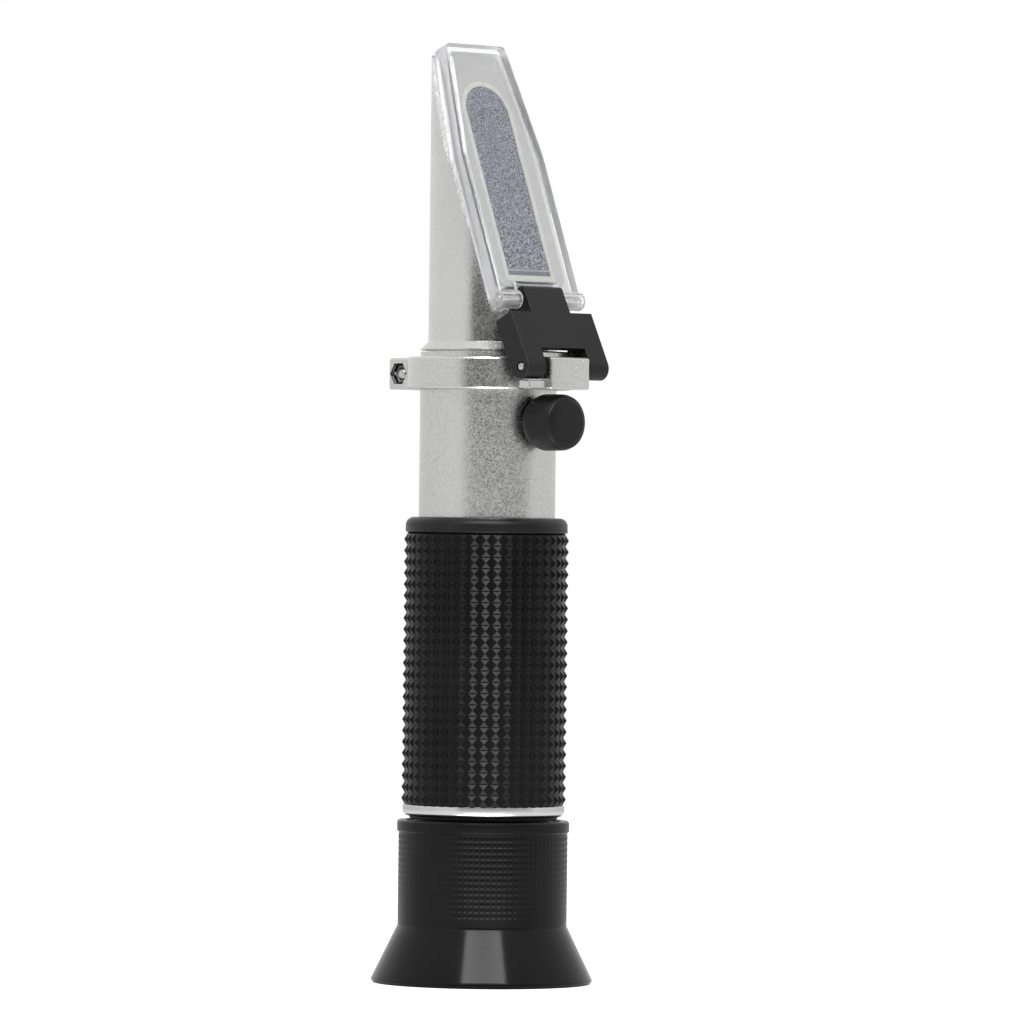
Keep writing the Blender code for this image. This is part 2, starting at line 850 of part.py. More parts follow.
def make_calibration():
    """Bush in the tube's side, the slotted screw that turns in it and the rubber cap over both."""
    bore = screw_radius + fit
    profile = [
        (bore, tube_bore - bush_reach),
        (bush_radius, tube_bore - bush_reach),
        (bush_radius, bush_face),
        (bush_flange, bush_face),
        (bush_flange, bush_end),
        (bore, bush_end),
    ]
    turned_calibration("calibration_bush", profile, brass("calibration_bush"))
    head = bush_end + fit
    head_end = head + screw_head_thick
    shank = [
        (0, tube_bore - screw_reach),
        (screw_radius, tube_bore - screw_reach),
        (screw_radius, head),
        (screw_head_radius, head),
        (screw_head_radius, head_end),
        (0, head_end),
    ]
    screw = turned_calibration("calibration_screw", shank, brass("calibration_screw"))
    low = (-screw_head_radius - overrun, calibration_z - slot_width / 2, head_end - slot_depth)
    high = (screw_head_radius + overrun, calibration_z + slot_width / 2, head_end + overrun)
    cut(screw, box("calibration_slot", low, high, cutter_finish, in_front))
    return screw, make_calibration_cap()


def make_calibration_cap():
    """Barrel-shaped push-on cap, rounded at both ends and hollow over the screw."""
    back = sleeve_bore
    front = back + cap_length
    bore = bush_flange + fit
    back_radius = bore + cap_back_wall
    cap_radius = back_radius + cap_swell
    waist = cap_radius - cap_taper
    front_centre = (waist - cap_round, front - cap_round)
    profile = [
        (bore, back),
        (back_radius, back),
        (cap_radius, back + cap_round),
        (cap_radius, (back + front) / 2),
        (waist, front - cap_round),
    ]
    profile += arc(cap_round, front_centre, 0, math.pi / 2)[1:]
    profile += [(0, front), (0, front - cap_end_wall), (bore, front - cap_end_wall)]
    return turned_calibration("calibration_cap", profile, black_rubber("cap"), 2 * small_sides)


def clamp_outline(radius):
    """The split ring, its lug and its ears as one line, round the outside and back along the bore."""
    half = lug_width / 2
    slit = slit_width / 2
    lug_turn = math.asin(half / radius)
    slit_turn = math.asin(slit / sleeve_bore)
    outline = [(-lug_reach, slit), (-lug_reach, half)]
    outline += arc(radius, (0, 0), math.pi - lug_turn, lug_turn, round_sides // 2)
    outline += [(lug_reach, half), (lug_reach, -half)]
    outline += arc(radius, (0, 0), -lug_turn, lug_turn - math.pi, round_sides // 2)
    outline += [(-lug_reach, -half), (-lug_reach, -slit)]
    outline += arc(sleeve_bore, (0, 0), math.pi + slit_turn, 3 * math.pi - slit_turn, round_sides)
    return outline


def make_clamp_ring():
    """Split ring that clamps the tube, with the cover's lug in front and screwed ears behind."""
    edge = clamp_outline(clamp_radius - clamp_chamfer)
    full = clamp_outline(clamp_radius)
    sections = [
        (edge, clamp_z),
        (full, clamp_z + clamp_chamfer),
        (full, clamp_top - clamp_chamfer),
        (edge, clamp_top),
    ]
    ring = stacked("clamp_ring", sections, in_plan, aluminium("clamp_ring"))
    half = lug_width / 2
    pad_half = half - lug_inset
    pad_arc = sleeve_bore + lug_inset
    pad_turn = math.asin(pad_half / pad_arc)
    pad = [(pad_reach, -pad_half), (pad_reach, pad_half)]
    pad += arc(pad_arc, (0, 0), pad_turn, -pad_turn, arc_steps)
    pad_foot = clamp_z + clamp_height / 2
    tab_low = (tab_reach - tab_depth, -tab_side, clamp_z + lug_inset)
    tab_high = (tab_reach, -half + overrun, clamp_z + tab_height)
    join(
        ring,
        extrusion("lug_pad", pad, pad_foot, clamp_top + pad_rise, in_plan, cutter_finish),
        box("stop_tab", tab_low, tab_high, cutter_finish),
    )
    centre = (bracket_pin_x, bracket_pin_z)
    pin_hole = rod_profile(bracket_pin_radius + pin_gap, -half - overrun, half + overrun)
    cut(ring, turned("lug_pin_hole", pin_hole, cutter_finish, in_side, centre, small_sides))
    make_clamp_screw(ring)


def make_clamp_screw(clamp):
    """Cheese-head screw across the ears, with its nut in a six-sided pocket."""
    half = lug_width / 2
    centre = (-lug_reach + clamp_screw_inset, clamp_z + clamp_height / 2)
    head_seat = half - clamp_head_thick - fit
    nut_low = -half + fit / 2
    nut_seat = nut_low + nut_thick + fit
    hex_share = 1 / math.cos(math.pi / 6)

    def along(name, profile, material, sides=small_sides):
        return turned(name, profile, material, in_side, centre, sides)

    hole = rod_profile(clamp_screw_radius + pin_gap, -half - overrun, half + overrun)
    recess = rod_profile(clamp_head_radius + fit, head_seat, half + overrun)
    pocket_radius = (nut_flats / 2 + fit) * hex_share
    pocket = rod_profile(pocket_radius, -half - overrun, nut_seat)
    cut(
        clamp,
        along("clamp_screw_hole", hole, cutter_finish),
        along("clamp_head_recess", recess, cutter_finish),
        along("clamp_nut_pocket", pocket, cutter_finish, 6),
    )
    head = head_seat + fit
    screw_end = -half + fit
    profile = [
        (0, screw_end),
        (clamp_screw_radius, screw_end),
        (clamp_screw_radius, head),
        (clamp_head_radius, head),
        (clamp_head_radius, half - fit / 2),
        (0, half - fit / 2),
    ]
    screw = along("clamp_screw", profile, steel("clamp_screw"))
    slot_low = (centre[0] - clamp_head_radius - overrun, centre[1] - slot_width / 2)
    slot_high = (centre[0] + clamp_head_radius + overrun, centre[1] + slot_width / 2)
    low = (*slot_low, half - slot_depth)
    cut(screw, box("clamp_screw_slot", low, (*slot_high, half), cutter_finish, in_side))
    nut_corner = nut_flats / 2 * hex_share
    ring = tube_profile(clamp_screw_radius + pin_gap, nut_corner, nut_low, nut_low + nut_thick)
    along("clamp_nut", ring, steel("clamp_nut"), 6)


def make_prism_housing():
    """Turned aluminium head: spigot, coned flange and the slanted face milled across it."""
    bore = housing_radius - housing_wall
    spigot = tube_bore - fit
    spigot_z = housing_z - spigot_length
    seal_z = housing_z - seal_drop
    groove = spigot - seal_thick - pin_gap / 2
    groove_half = seal_thick / 2 + pin_gap
    cone = tube_radius - housing_radius
    profile = [
        (0, housing_top - housing_top_wall),
        (bore, housing_top - housing_top_wall),
        (bore, spigot_z),
        (spigot, spigot_z),
        (spigot, seal_z - groove_half),
        (groove, seal_z - groove_half),
        (groove, seal_z + groove_half),
        (spigot, seal_z + groove_half),
        (spigot, housing_z),
        (tube_radius, housing_z),
        (tube_radius, housing_z + flange_land),
        (housing_radius, housing_z + flange_land + cone),
        (housing_radius, housing_top),
        (0, housing_top),
    ]
    housing = turned("prism_housing", profile, aluminium("prism_housing"))
    low = (-2 * housing_radius, cut_foot, cut_out)
    high = (2 * housing_radius, cut_foot + 2 * housing_height, cut_out + housing_height)
    cut(housing, box("slanted_face", low, high, cutter_finish, on_slant))
    seal_radius = spigot - seal_thick / 2 + pin_gap / 2
    section = arc(seal_thick / 2, (seal_radius, seal_z), 0, 2 * math.pi, 8)[:-1]
    turned("housing_seal", section, black_rubber("housing_seal"))


def window_outline(margin):
    """Straight-sided window with a half-round top, grown by margin all round."""
    half = window_half_width + margin
    foot = window_foot_up - margin
    return [(-half, foot), (half, foot)] + arc(half, (0, window_arc_up), 0, math.pi, 2 * arc_steps)


def plate_outline(margin, foot, corner):
    """The plate's outline: parallel sides, then a taper to its narrower top."""
    half = plate_half_width - margin
    top_half = plate_top_half - margin
    top = plate_end - margin
    kink = pin_up + plate_kink
    right = [(half, foot), (half, kink), (top_half, top - corner), (top_half - corner, top)]
    return right + [(-a, b) for a, b in reversed(right)]


def make_prism_frame():
    """Frame that holds the prism on the slanted face, inside the plate's skirts."""
    half = plate_half_width - frame_margin
    outline = plate_outline(frame_margin, frame_foot_up + frame_round, frame_round)
    foot_right = (half - frame_round, frame_foot_up + frame_round)
    foot_left = (frame_round - half, frame_foot_up + frame_round)
    outline = outline[:-1] + arc(frame_round, foot_left, math.pi, 1.5 * math.pi)
    outline = outline + arc(frame_round, foot_right, 1.5 * math.pi, 2 * math.pi)[:-1]
    frame = extrusion(
        "prism_frame", outline, frame_low, frame_high, on_slant, aluminium("prism_frame")
    )
    opening = window_outline(seal_band)
    low = frame_low - overrun
    high = frame_high + overrun
    cut(frame, extrusion("frame_window", opening, low, high, on_slant, cutter_finish))


def make_prism():
    """Glass wedge whose measuring face fills the window, and the sealant round it."""
    face = frame_high - prism_recess
    prism = extrusion("prism", window_outline(0), frame_low, face, on_slant, glass("prism"))
    bore = housing_radius - housing_wall
    front_x = math.sqrt(bore**2 - window_half_width**2) - fit
    upper = face - prism_lap
    top = on_slant(0, window_arc_up, upper)
    front_up = (upper * slant_cos - front_x) / slant_sin
    front = on_slant(0, front_up, upper)
    seat_z = housing_z + prism_seat
    back_x = top.x - prism_back
    wedge = [(front_x, seat_z), (front_x, front.z), (top.x, top.z), (back_x, top.z), (back_x, seat_z)]
    half = window_half_width - glue_gap
    join(prism, extrusion("prism_wedge", wedge, -half, half, in_side, cutter_finish))
    outer = window_outline(glue_gap + sealant_width)
    sealant = extrusion(
        "prism_sealant",
        outer,
        frame_low,
        frame_high,
        on_slant,
        finish("prism_sealant", (0.78, 0.77, 0.7), 0.6),
    )
    opening = window_outline(glue_gap)
    low = frame_low - overrun
    high = frame_high + overrun
    cut(sealant, extrusion("sealant_window", opening, low, high, on_slant, cutter_finish))


def make_daylight_plate():
    """Clear moulded tray that closes over the prism, with a knuckle either side of the tongue."""
    clear = finish("daylight_plate", (0.92, 0.93, 0.94), 0.06, 0.0, 1.0)
    outline = plate_outline(0, pin_up, plate_corner)
    plate = extrusion("daylight_plate", outline, plate_back, plate_front, on_slant, clear)
    pocket = plate_outline(plate_wall, pin_up - overrun, plate_corner)
    low = plate_back - overrun
    inner = tongue_width / 2 + knuckle_gap
    tongue_reach = math.hypot(tongue_end, bracket_thick / 2) + tongue_clear
    slot = rod_profile(tongue_reach, -inner, inner)
    cut(
        plate,
        extrusion("plate_pocket", pocket, low, plate_inside, on_slant, cutter_finish),
        turned_hinge("tongue_slot", slot, cutter_finish, round_sides),
    )
    for side, name in ((-1, "knuckle_near"), (1, "knuckle_far")):
        ends = sorted((side * inner, side * knuckle_span / 2))
        barrel = rod_profile(knuckle_radius, *ends)
        join(plate, turned_hinge(name, barrel, cutter_finish))
    reach = knuckle_span / 2 + overrun
    hole = rod_profile(plate_pin_radius + pin_gap, -reach, reach)
    cut(plate, turned_hinge("plate_pin_hole", hole, cutter_finish))
    return plate


def turned_hinge(name, profile, material, sides=small_sides):
    """A shape turned about the plate's hinge, which runs along Y."""
    return turned(name, profile, material, in_side, (plate_pin_x, plate_pin_z), sides)


def make_cover_bracket():
    """Black bracket: two legs on the lug's pin, a cross bar, and a tongue to the plate's pin."""
    half_thick = bracket_thick / 2
    tongue_top = pin_distance + tongue_end
    side = arc(half_thick, (0, 0), math.pi, 2 * math.pi, 2 * arc_steps)
    corner = (half_thick - tongue_round, tongue_top - tongue_round)
    side += arc(tongue_round, corner, 0, math.pi / 2)
    side += [(-half_thick, tongue_top)]
    half = bracket_width / 2
    material = finish("cover_bracket", charcoal_colour, 0.5, 0.3)
    bracket = extrusion("cover_bracket", side, -half, half, on_bracket, material)
    shoulder = pin_distance - bracket_shoulder
    out = half_thick + overrun
    for sign, name in ((-1, "shoulder_near"), (1, "shoulder_far")):
        ends = sorted((sign * tongue_width / 2, sign * (half + overrun)))
        low = (-out, shoulder, ends[0])
        high = (out, tongue_top + overrun, ends[1])
        cut(bracket, box(name, low, high, cutter_finish, on_bracket))
    notch_half = notch_width / 2
    notch = rod_profile(notch_radius, -notch_half, notch_half)
    relief_low = (-out, 0, -notch_half)
    relief_high = (half_thick - notch_lip, notch_relief, notch_half)
    reach = half + overrun
    lower_hole = rod_profile(bracket_pin_radius + pin_gap, -reach, reach)
    upper_hole = rod_profile(plate_pin_radius + pin_gap, -reach, reach)
    cut(
        bracket,
        turned("notch", notch, cutter_finish, on_bracket),
        box("notch_relief", relief_low, relief_high, cutter_finish, on_bracket),
        turned("leg_holes", lower_hole, cutter_finish, on_bracket, (0, 0), small_sides),
        turned("tongue_hole", upper_hole, cutter_finish, on_bracket, (0, pin_distance), small_sides),
    )
    pin_half = half - pin_end_inset
    lower_pin = rod_profile(bracket_pin_radius, -pin_half, pin_half)
    turned("bracket_pin", lower_pin, steel("bracket_pin"), on_bracket, (0, 0), small_sides)
    plate_pin_half = knuckle_span / 2 - pin_end_inset
    upper_pin = rod_profile(plate_pin_radius, -plate_pin_half, plate_pin_half)
    plate_pin = turned_hinge("plate_pin", upper_pin, steel("plate_pin"))
    return bracket, plate_pin


def clear_scene():
    for old in list(bpy.data.objects):
        bpy.data.objects.remove(old)


def build():
    clear_scene()
    make_main_tube()
    make_eyepiece_tube()
    make_trim_ring()
    make_grip_sleeve()
    make_grip_collar()
    make_reticle()
    make_baffle()
    make_carriage_guide()
    make_clamp_ring()
    make_prism_housing()
    make_prism_frame()
    make_prism()
    screw, cap = make_calibration()
    calibration_axis = Vector((bush_face, 0, calibration_z))
    carry(axis_empty("focus_axis", Vector((0, 0, 0))), make_eyecup(), make_focus_ring())
    carry(axis_empty("lens_travel", Vector((0, 0, cell_z))), *make_lens_cell())
    carry(axis_empty("calibration_axis", calibration_axis), screw)
    carry(axis_empty("cap_travel", calibration_axis), cap)
    carry(axis_empty("carriage_travel", Vector((0, 0, calibration_z))), *make_carriage())
    cover_axis = axis_empty("cover_axis", bracket_pivot)
    bracket, plate_pin = make_cover_bracket()
    carry(cover_axis, bracket, plate_pin)
    carry(axis_empty("plate_axis", plate_pivot, cover_axis), make_daylight_plate())


build()
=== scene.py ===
import math

import bmesh
import bpy
from mathutils import Matrix, Vector


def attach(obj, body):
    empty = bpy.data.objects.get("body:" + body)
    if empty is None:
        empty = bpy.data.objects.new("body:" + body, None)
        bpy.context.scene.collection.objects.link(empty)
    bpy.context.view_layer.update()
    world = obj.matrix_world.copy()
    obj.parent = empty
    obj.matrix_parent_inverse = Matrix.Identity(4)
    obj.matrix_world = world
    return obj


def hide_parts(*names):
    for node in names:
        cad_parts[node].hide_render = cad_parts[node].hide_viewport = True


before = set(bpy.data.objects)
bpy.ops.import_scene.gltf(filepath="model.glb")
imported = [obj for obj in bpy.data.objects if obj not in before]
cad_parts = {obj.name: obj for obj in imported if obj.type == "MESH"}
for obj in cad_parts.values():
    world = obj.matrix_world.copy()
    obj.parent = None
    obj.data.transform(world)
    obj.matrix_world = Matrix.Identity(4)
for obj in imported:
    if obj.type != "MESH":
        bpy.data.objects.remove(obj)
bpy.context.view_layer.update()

# Studio. The instrument stands on a white table before a white backdrop, under a wide softbox above the
# camera. A dark card behind the camera, a little to its right, draws the dark band down the metal, and a
# small lamp lies on the table as a white card would.
azimuth = math.radians(45)
to_camera = Vector((math.sin(azimuth), -math.cos(azimuth), 0))
to_right = Vector((math.cos(azimuth), math.sin(azimuth), 0))
to_top = Vector((0, 0, 1))


def new_object(name, data):
    """An object at the origin, in the scene."""
    made = bpy.data.objects.new(name, data)
    bpy.context.scene.collection.objects.link(made)
    return made


camera_distance, camera_aside, camera_height = 1.4, 0.00455, 0.0855
camera_roll = math.radians(0.6875)
camera_data = bpy.data.cameras.new("camera")
camera_data.lens = 271.2
camera_data.sensor_width = 36
camera_data.clip_end = 50
camera = new_object("camera", camera_data)
camera_place = to_camera * camera_distance + to_right * camera_aside + to_top * camera_height
camera.matrix_world = (
    Matrix.Translation(camera_place)
    @ Matrix.Rotation(azimuth, 4, "Z")
    @ Matrix.Rotation(math.radians(90), 4, "X")
    @ Matrix.Rotation(camera_roll, 4, "Z")
)
bpy.context.scene.camera = camera
bpy.context.scene.view_settings.view_transform = "Standard"


def area_lamp(name, width, height, power, place):
    """A rectangular lamp, its sides in metres and its power in watts, at its place and turn."""
    lamp = bpy.data.lights.new(name, "AREA")
    lamp.shape = "RECTANGLE"
    lamp.size = width
    lamp.size_y = height
    lamp.energy = power
    made = new_object(name, lamp)
    made.matrix_world = place
    return made


softbox_turn, softbox_rise, softbox_distance = math.radians(3), math.radians(50), 1.0
softbox_aim = to_top * 0.09
softbox_level = to_camera * math.cos(softbox_turn) + to_right * math.sin(softbox_turn)
softbox_way = softbox_level * math.cos(softbox_rise) + to_top * math.sin(softbox_rise)
softbox_place = softbox_aim + softbox_way * softbox_distance
softbox_turns = (softbox_place - softbox_aim).to_track_quat("Z", "Y").to_matrix().to_4x4()
area_lamp("softbox_above", 0.74, 0.29, 7.2, Matrix.Translation(softbox_place) @ softbox_turns)

table_lamp_place = to_camera * 0.058 + to_right * 0.003 + to_top * 0.001
table_lamp_turns = Matrix((to_right, to_right.cross(to_top), -to_top)).transposed().to_4x4()
table_lamp = area_lamp("card_on_table", 0.06, 0.048, 0.053, Matrix.Translation(table_lamp_place) @ table_lamp_turns)
table_lamp.visible_camera = False


def calculate(tree, operation, *values, clamp=False):
    """A Math node's result, each value an output socket or a number."""
    node = tree.nodes.new("ShaderNodeMath")
    node.operation = operation
    node.use_clamp = clamp
    for socket, value in zip(node.inputs, values):
        if isinstance(value, (int, float)):
            socket.default_value = value
        else:
            tree.links.new(value, socket)
    return node.outputs[0]


def vector_math(tree, operation, *values):
    """A Vector Math node's result, each value an output socket or a vector."""
    node = tree.nodes.new("ShaderNodeVectorMath")
    node.operation = operation
    for socket, value in zip(node.inputs, values):
        if isinstance(value, (tuple, Vector)):
            socket.default_value = value
        else:
            tree.links.new(value, socket)
    return node.outputs["Value" if operation == "DOT_PRODUCT" else "Vector"]


def spread(tree, value, low, high, start=0.3, end=0.7, smooth=False):
    """Carries the value from the range start to end, by default a noise's usual one, to low to high."""
    node = tree.nodes.new("ShaderNodeMapRange")
    if smooth:
        node.interpolation_type = "SMOOTHSTEP"
    node.inputs["From Min"].default_value = start
    node.inputs["From Max"].default_value = end
    node.inputs["To Min"].default_value = low
    node.inputs["To Max"].default_value = high
    tree.links.new(value, node.inputs["Value"])
    return node.outputs["Result"]


world = bpy.data.worlds.new("studio")
world.use_nodes = True
bpy.context.scene.world = world
sky = world.node_tree
backdrop = sky.nodes["Background"]
backdrop.inputs["Color"].default_value = (1, 1, 1, 1)
rays = sky.nodes.new("ShaderNodeLightPath").outputs
heading = sky.nodes.new("ShaderNodeTexCoord").outputs["Generated"]
parts = sky.nodes.new("ShaderNodeSeparateXYZ")
sky.links.new(heading, parts.inputs[0])

card_turn = math.radians(18)
card_side_edge = math.cos(math.radians(62)), math.cos(math.radians(48))
card_top_edge = math.sin(math.radians(42)), math.sin(math.radians(26))
card_middle = to_camera * math.cos(card_turn) + to_right * math.sin(card_turn)
card_darkest = to_camera * math.cos(card_turn) - to_right * math.sin(card_turn)
across = vector_math(sky, "DOT_PRODUCT", heading, card_middle)
above = calculate(sky, "ABSOLUTE", parts.outputs["Z"])
card = [spread(sky, across, 0, 1, *card_side_edge, True), spread(sky, above, 0, 1, *card_top_edge, True)]
card = calculate(sky, "MULTIPLY", *card)
toward_dark = vector_math(sky, "DOT_PRODUCT", heading, card_darkest)
darkness = spread(sky, toward_dark, 0.64, 0.83, 0.1, 0.95)
mirrored_white, diffuse_white = 0.90, 0.38
mirrored = calculate(sky, "SUBTRACT", mirrored_white, calculate(sky, "MULTIPLY", card, darkness))
plain = calculate(sky, "MAXIMUM", rays["Is Camera Ray"], rays["Is Transmission Ray"], clamp=True)
glossy = calculate(sky, "MULTIPLY", rays["Is Glossy Ray"], mirrored)
seen = calculate(sky, "ADD", plain, glossy, clamp=True)
diffuse = calculate(sky, "MULTIPLY", rays["Is Diffuse Ray"], diffuse_white)
sky.links.new(calculate(sky, "ADD", seen, diffuse, clamp=True), backdrop.inputs["Strength"])

table_reach, table_mirrored, table_glow = 6.0, 0.16, 0.75
table_mesh = bpy.data.meshes.new("table")
table_corners = [(x * table_reach, y * table_reach, 0) for x, y in ((-1, -1), (1, -1), (1, 1), (-1, 1))]
table_mesh.from_pydata(table_corners, [], [(0, 1, 2, 3)])
table = new_object("table", table_mesh)
table_finish = bpy.data.materials.new("white_table")
table_finish.use_nodes = True
table_tree = table_finish.node_tree
table_shader = table_tree.nodes["Principled BSDF"]
table_shader.inputs["Base Color"].default_value = (0.86, 0.86, 0.86, 1)
table_shader.inputs["Roughness"].default_value = 0.9
table_shader.inputs["Specular IOR Level"].default_value = 0.1
table_rays = table_tree.nodes.new("ShaderNodeLightPath").outputs
table_seen = calculate(table_tree, "MAXIMUM", table_rays["Is Camera Ray"], table_rays["Is Transmission Ray"])
table_seen = calculate(table_tree, "MULTIPLY_ADD", table_rays["Is Glossy Ray"], table_mirrored, table_seen)
table_seen = calculate(table_tree, "MULTIPLY", table_seen, table_glow)
table_shader.inputs["Emission Color"].default_value = (1, 1, 1, 1)
table_tree.links.new(table_seen, table_shader.inputs["Emission Strength"])
table_mesh.materials.append(table_finish)


# Light tube. A drawn aluminium tube, turned to size, bead blasted and clear anodised. Everything else
# is screwed or pushed onto it. Its side hole takes the bush of the calibration screw.
# Sizes from here on are in millimetres, and the mesh builders turn them into metres.
mm = 0.001
fine_angle = math.radians(12)
nearly_straight = math.radians(89)
side_share = 0.49


def rounded(points, radii, steps=3):
    """The closed outline with arcs of the given radii, one for each point, in place of its corners."""
    outline = []
    for i, (corner, radius) in enumerate(zip(points, radii)):
        here = Vector(corner)
        back = Vector(points[i - 1]) - here
        ahead = Vector(points[(i + 1) % len(points)]) - here
        half = back.angle(ahead) / 2
        if radius == 0 or half > nearly_straight:
            outline.append(tuple(here))
            continue
        reach = min(radius / math.tan(half), back.length * side_share, ahead.length * side_share)
        radius = reach * math.tan(half)
        middle = here + (back.normalized() + ahead.normalized()).normalized() * (radius / math.sin(half))
        start = here + back.normalized() * reach - middle
        end = here + ahead.normalized() * reach - middle
        sweep = math.atan2(start.x * end.y - start.y * end.x, start.dot(end))
        for k in range(steps + 1):
            turn = sweep * k / steps
            c, s = math.cos(turn), math.sin(turn)
            outline.append((middle.x + start.x * c - start.y * s, middle.y + start.x * s + start.y * c))
    return outline


def upright(a, b, h):
    """Outline in X and Y, height along Z."""
    return Vector((a, b, h))


def mesh_piece(name, shape):
    """A piece from a closed shape, its normals outwards and its rounded faces smooth."""
    bmesh.ops.remove_doubles(shape, verts=shape.verts, dist=1e-7)
    bmesh.ops.recalc_face_normals(shape, faces=shape.faces)
    mesh = bpy.data.meshes.new(name)
    shape.to_mesh(mesh)
    shape.free()
    mesh.shade_smooth()
    mesh.set_sharp_from_angle(angle=fine_angle)
    return new_object(name, mesh)


def turned(name, profile, sides, place=upright, centre=(0, 0)):
    """The closed profile of radius and height, turned about its centre."""
    shape = bmesh.new()
    turns = [2 * math.pi * k / sides for k in range(sides)]
    rings = []
    for radius, height in profile:
        if radius == 0:
            rings.append([shape.verts.new(place(*centre, height) * mm)] * sides)
            continue
        spots = [(centre[0] + radius * math.cos(t), centre[1] + radius * math.sin(t)) for t in turns]
        rings.append([shape.verts.new(place(a, b, height) * mm) for a, b in spots])
    for i, lower in enumerate(rings):
        upper = rings[(i + 1) % len(rings)]
        for k in range(sides):
            n = (k + 1) % sides
            corners = dict.fromkeys((lower[k], lower[n], upper[n], upper[k]))
            if len(corners) > 2:
                shape.faces.new(corners)
    return mesh_piece(name, shape)


def along_x(a, b, h):
    """Outline in Y and Z, height along X."""
    return Vector((h, a, b))


def rod(name, radius, low, high, place, centre, sides=64):
    """A plain rod between two heights, or the drill for a hole."""
    return turned(name, [(0, low), (radius, low), (radius, high), (0, high)], sides, place, centre)


def settled(piece, smooth=fine_angle):
    """Leaves the plain mesh that the piece's modifiers make, sharp only at edges beyond the angle."""
    bpy.context.view_layer.update()
    graph = bpy.context.evaluated_depsgraph_get()
    result = bpy.data.meshes.new_from_object(piece.evaluated_get(graph))
    piece.modifiers.clear()
    piece.data = result
    result.shade_smooth()
    result.set_sharp_from_angle(angle=smooth)
    return piece


def carved(piece, joined=(), cut=(), edge=0.0, segments=3):
    """Joins and cuts with the exact solver, rounds the sharp edges and leaves one plain mesh."""
    for operation, others in (("UNION", joined), ("DIFFERENCE", cut)):
        for other in others:
            step = piece.modifiers.new(other.name, "BOOLEAN")
            step.operation = operation
            step.solver = "EXACT"
            step.object = other
    if edge:
        merge = piece.modifiers.new("merge", "WELD")
        merge.merge_threshold = 0.004 * mm
        bevel = piece.modifiers.new("edges", "BEVEL")
        bevel.width = edge * mm
        bevel.segments = segments
        bevel.limit_method = "ANGLE"
        bevel.angle_limit = math.radians(32)
        bevel.use_clamp_overlap = True
    settled(piece)
    for other in (*joined, *cut):
        bpy.data.objects.remove(other)
    return piece


def noise(tree, place, scale, detail, stretch=None):
    """A noise value on the piece's own coordinates, scale in waves to the metre."""
    node = tree.nodes.new("ShaderNodeTexNoise")
    node.inputs["Scale"].default_value = scale
    node.inputs["Detail"].default_value = detail
    vector = place.outputs["Object"]
    if stretch:
        mapping = tree.nodes.new("ShaderNodeMapping")
        mapping.inputs["Scale"].default_value = stretch
        tree.links.new(vector, mapping.inputs["Vector"])
        vector = mapping.outputs["Vector"]
    tree.links.new(vector, node.inputs["Vector"])
    return node.outputs["Fac"]


def tinted(tree, value, dark, light, start=0.3, end=0.7):
    """A colour between dark and light, by where the value is in its range."""
    node = tree.nodes.new("ShaderNodeMix")
    node.data_type = "RGBA"
    node.inputs["A"].default_value = (*dark, 1)
    node.inputs["B"].default_value = (*light, 1)
    tree.links.new(spread(tree, value, 0, 1, start, end), node.inputs["Factor"])
    return node.outputs["Result"]


def finished(tree, shader, colour, dull):
    """Gives the shader its colour and its roughness, both values that vary over the piece."""
    tree.links.new(colour, shader.inputs["Base Color"])
    tree.links.new(dull, shader.inputs["Roughness"])


def relief(tree, shader, value, depth):
    """A bump of the value, depth in millimetres, on the shader's normal."""
    node = tree.nodes.new("ShaderNodeBump")
    node.inputs["Strength"].default_value = 1.0
    node.inputs["Distance"].default_value = depth * mm
    tree.links.new(value, node.inputs["Height"])
    tree.links.new(node.outputs["Normal"], shader.inputs["Normal"])
    return node.outputs["Normal"]


def start_finish(name, metallic=0.0):
    """A new material with its tree, its shader and its own coordinates."""
    made = bpy.data.materials.new(name)
    made.use_nodes = True
    tree = made.node_tree
    shader = tree.nodes["Principled BSDF"]
    shader.inputs["Metallic"].default_value = metallic
    return made, tree, shader, tree.nodes.new("ShaderNodeTexCoord")


grains_to_metre, grain_dulling = 4700, 0.14


def blasted_aluminium(name, dark, light, roughness, tilt):
    """Blasted and anodised: each grain's pit leans its own way, so it sparkles, under faint cloudy patches."""
    made, tree, shader, place = start_finish(name, 1.0)
    pits = tree.nodes.new("ShaderNodeTexVoronoi")
    pits.inputs["Scale"].default_value = grains_to_metre
    tree.links.new(place.outputs["Object"], pits.inputs["Vector"])
    shares = tree.nodes.new("ShaderNodeSeparateColor")
    tree.links.new(pits.outputs["Color"], shares.inputs[0])
    cloud = noise(tree, place, 90, 2.0)
    patches = spread(tree, cloud, roughness - 0.08, roughness)
    dull = calculate(tree, "MULTIPLY_ADD", shares.outputs["Green"], grain_dulling, patches)
    finished(tree, shader, tinted(tree, shares.outputs["Red"], dark, light, 0, 1), dull)
    waves = relief(tree, shader, cloud, 0.02)
    lean = vector_math(tree, "SUBTRACT", pits.outputs["Color"], (0.5, 0.5, 0.5))
    lean = vector_math(tree, "MULTIPLY", lean, (tilt, tilt, tilt))
    lean = vector_math(tree, "ADD", waves, lean)
    tree.links.new(vector_math(tree, "NORMALIZE", lean), shader.inputs["Normal"])
    return made


tube_finish = blasted_aluminium("blasted_tube", (0.65, 0.65, 0.64), (0.685, 0.685, 0.675), 0.29, 0.12)
tube_bore, tube_radius, tube_foot, tube_top = 11.0, 12.37, 30.95, 114.35
tube_corners = [(tube_bore, tube_foot), (tube_radius, tube_foot), (tube_radius, tube_top), (tube_bore, tube_top)]
light_tube = turned("light_tube_shell", rounded(tube_corners, [0, 0.2, 0.03, 0]), 160)
bush_height = 101.7
carved(light_tube, cut=[rod("bush_hole", 2.9, 10.0, 13.4, along_x, (0, bush_height))])


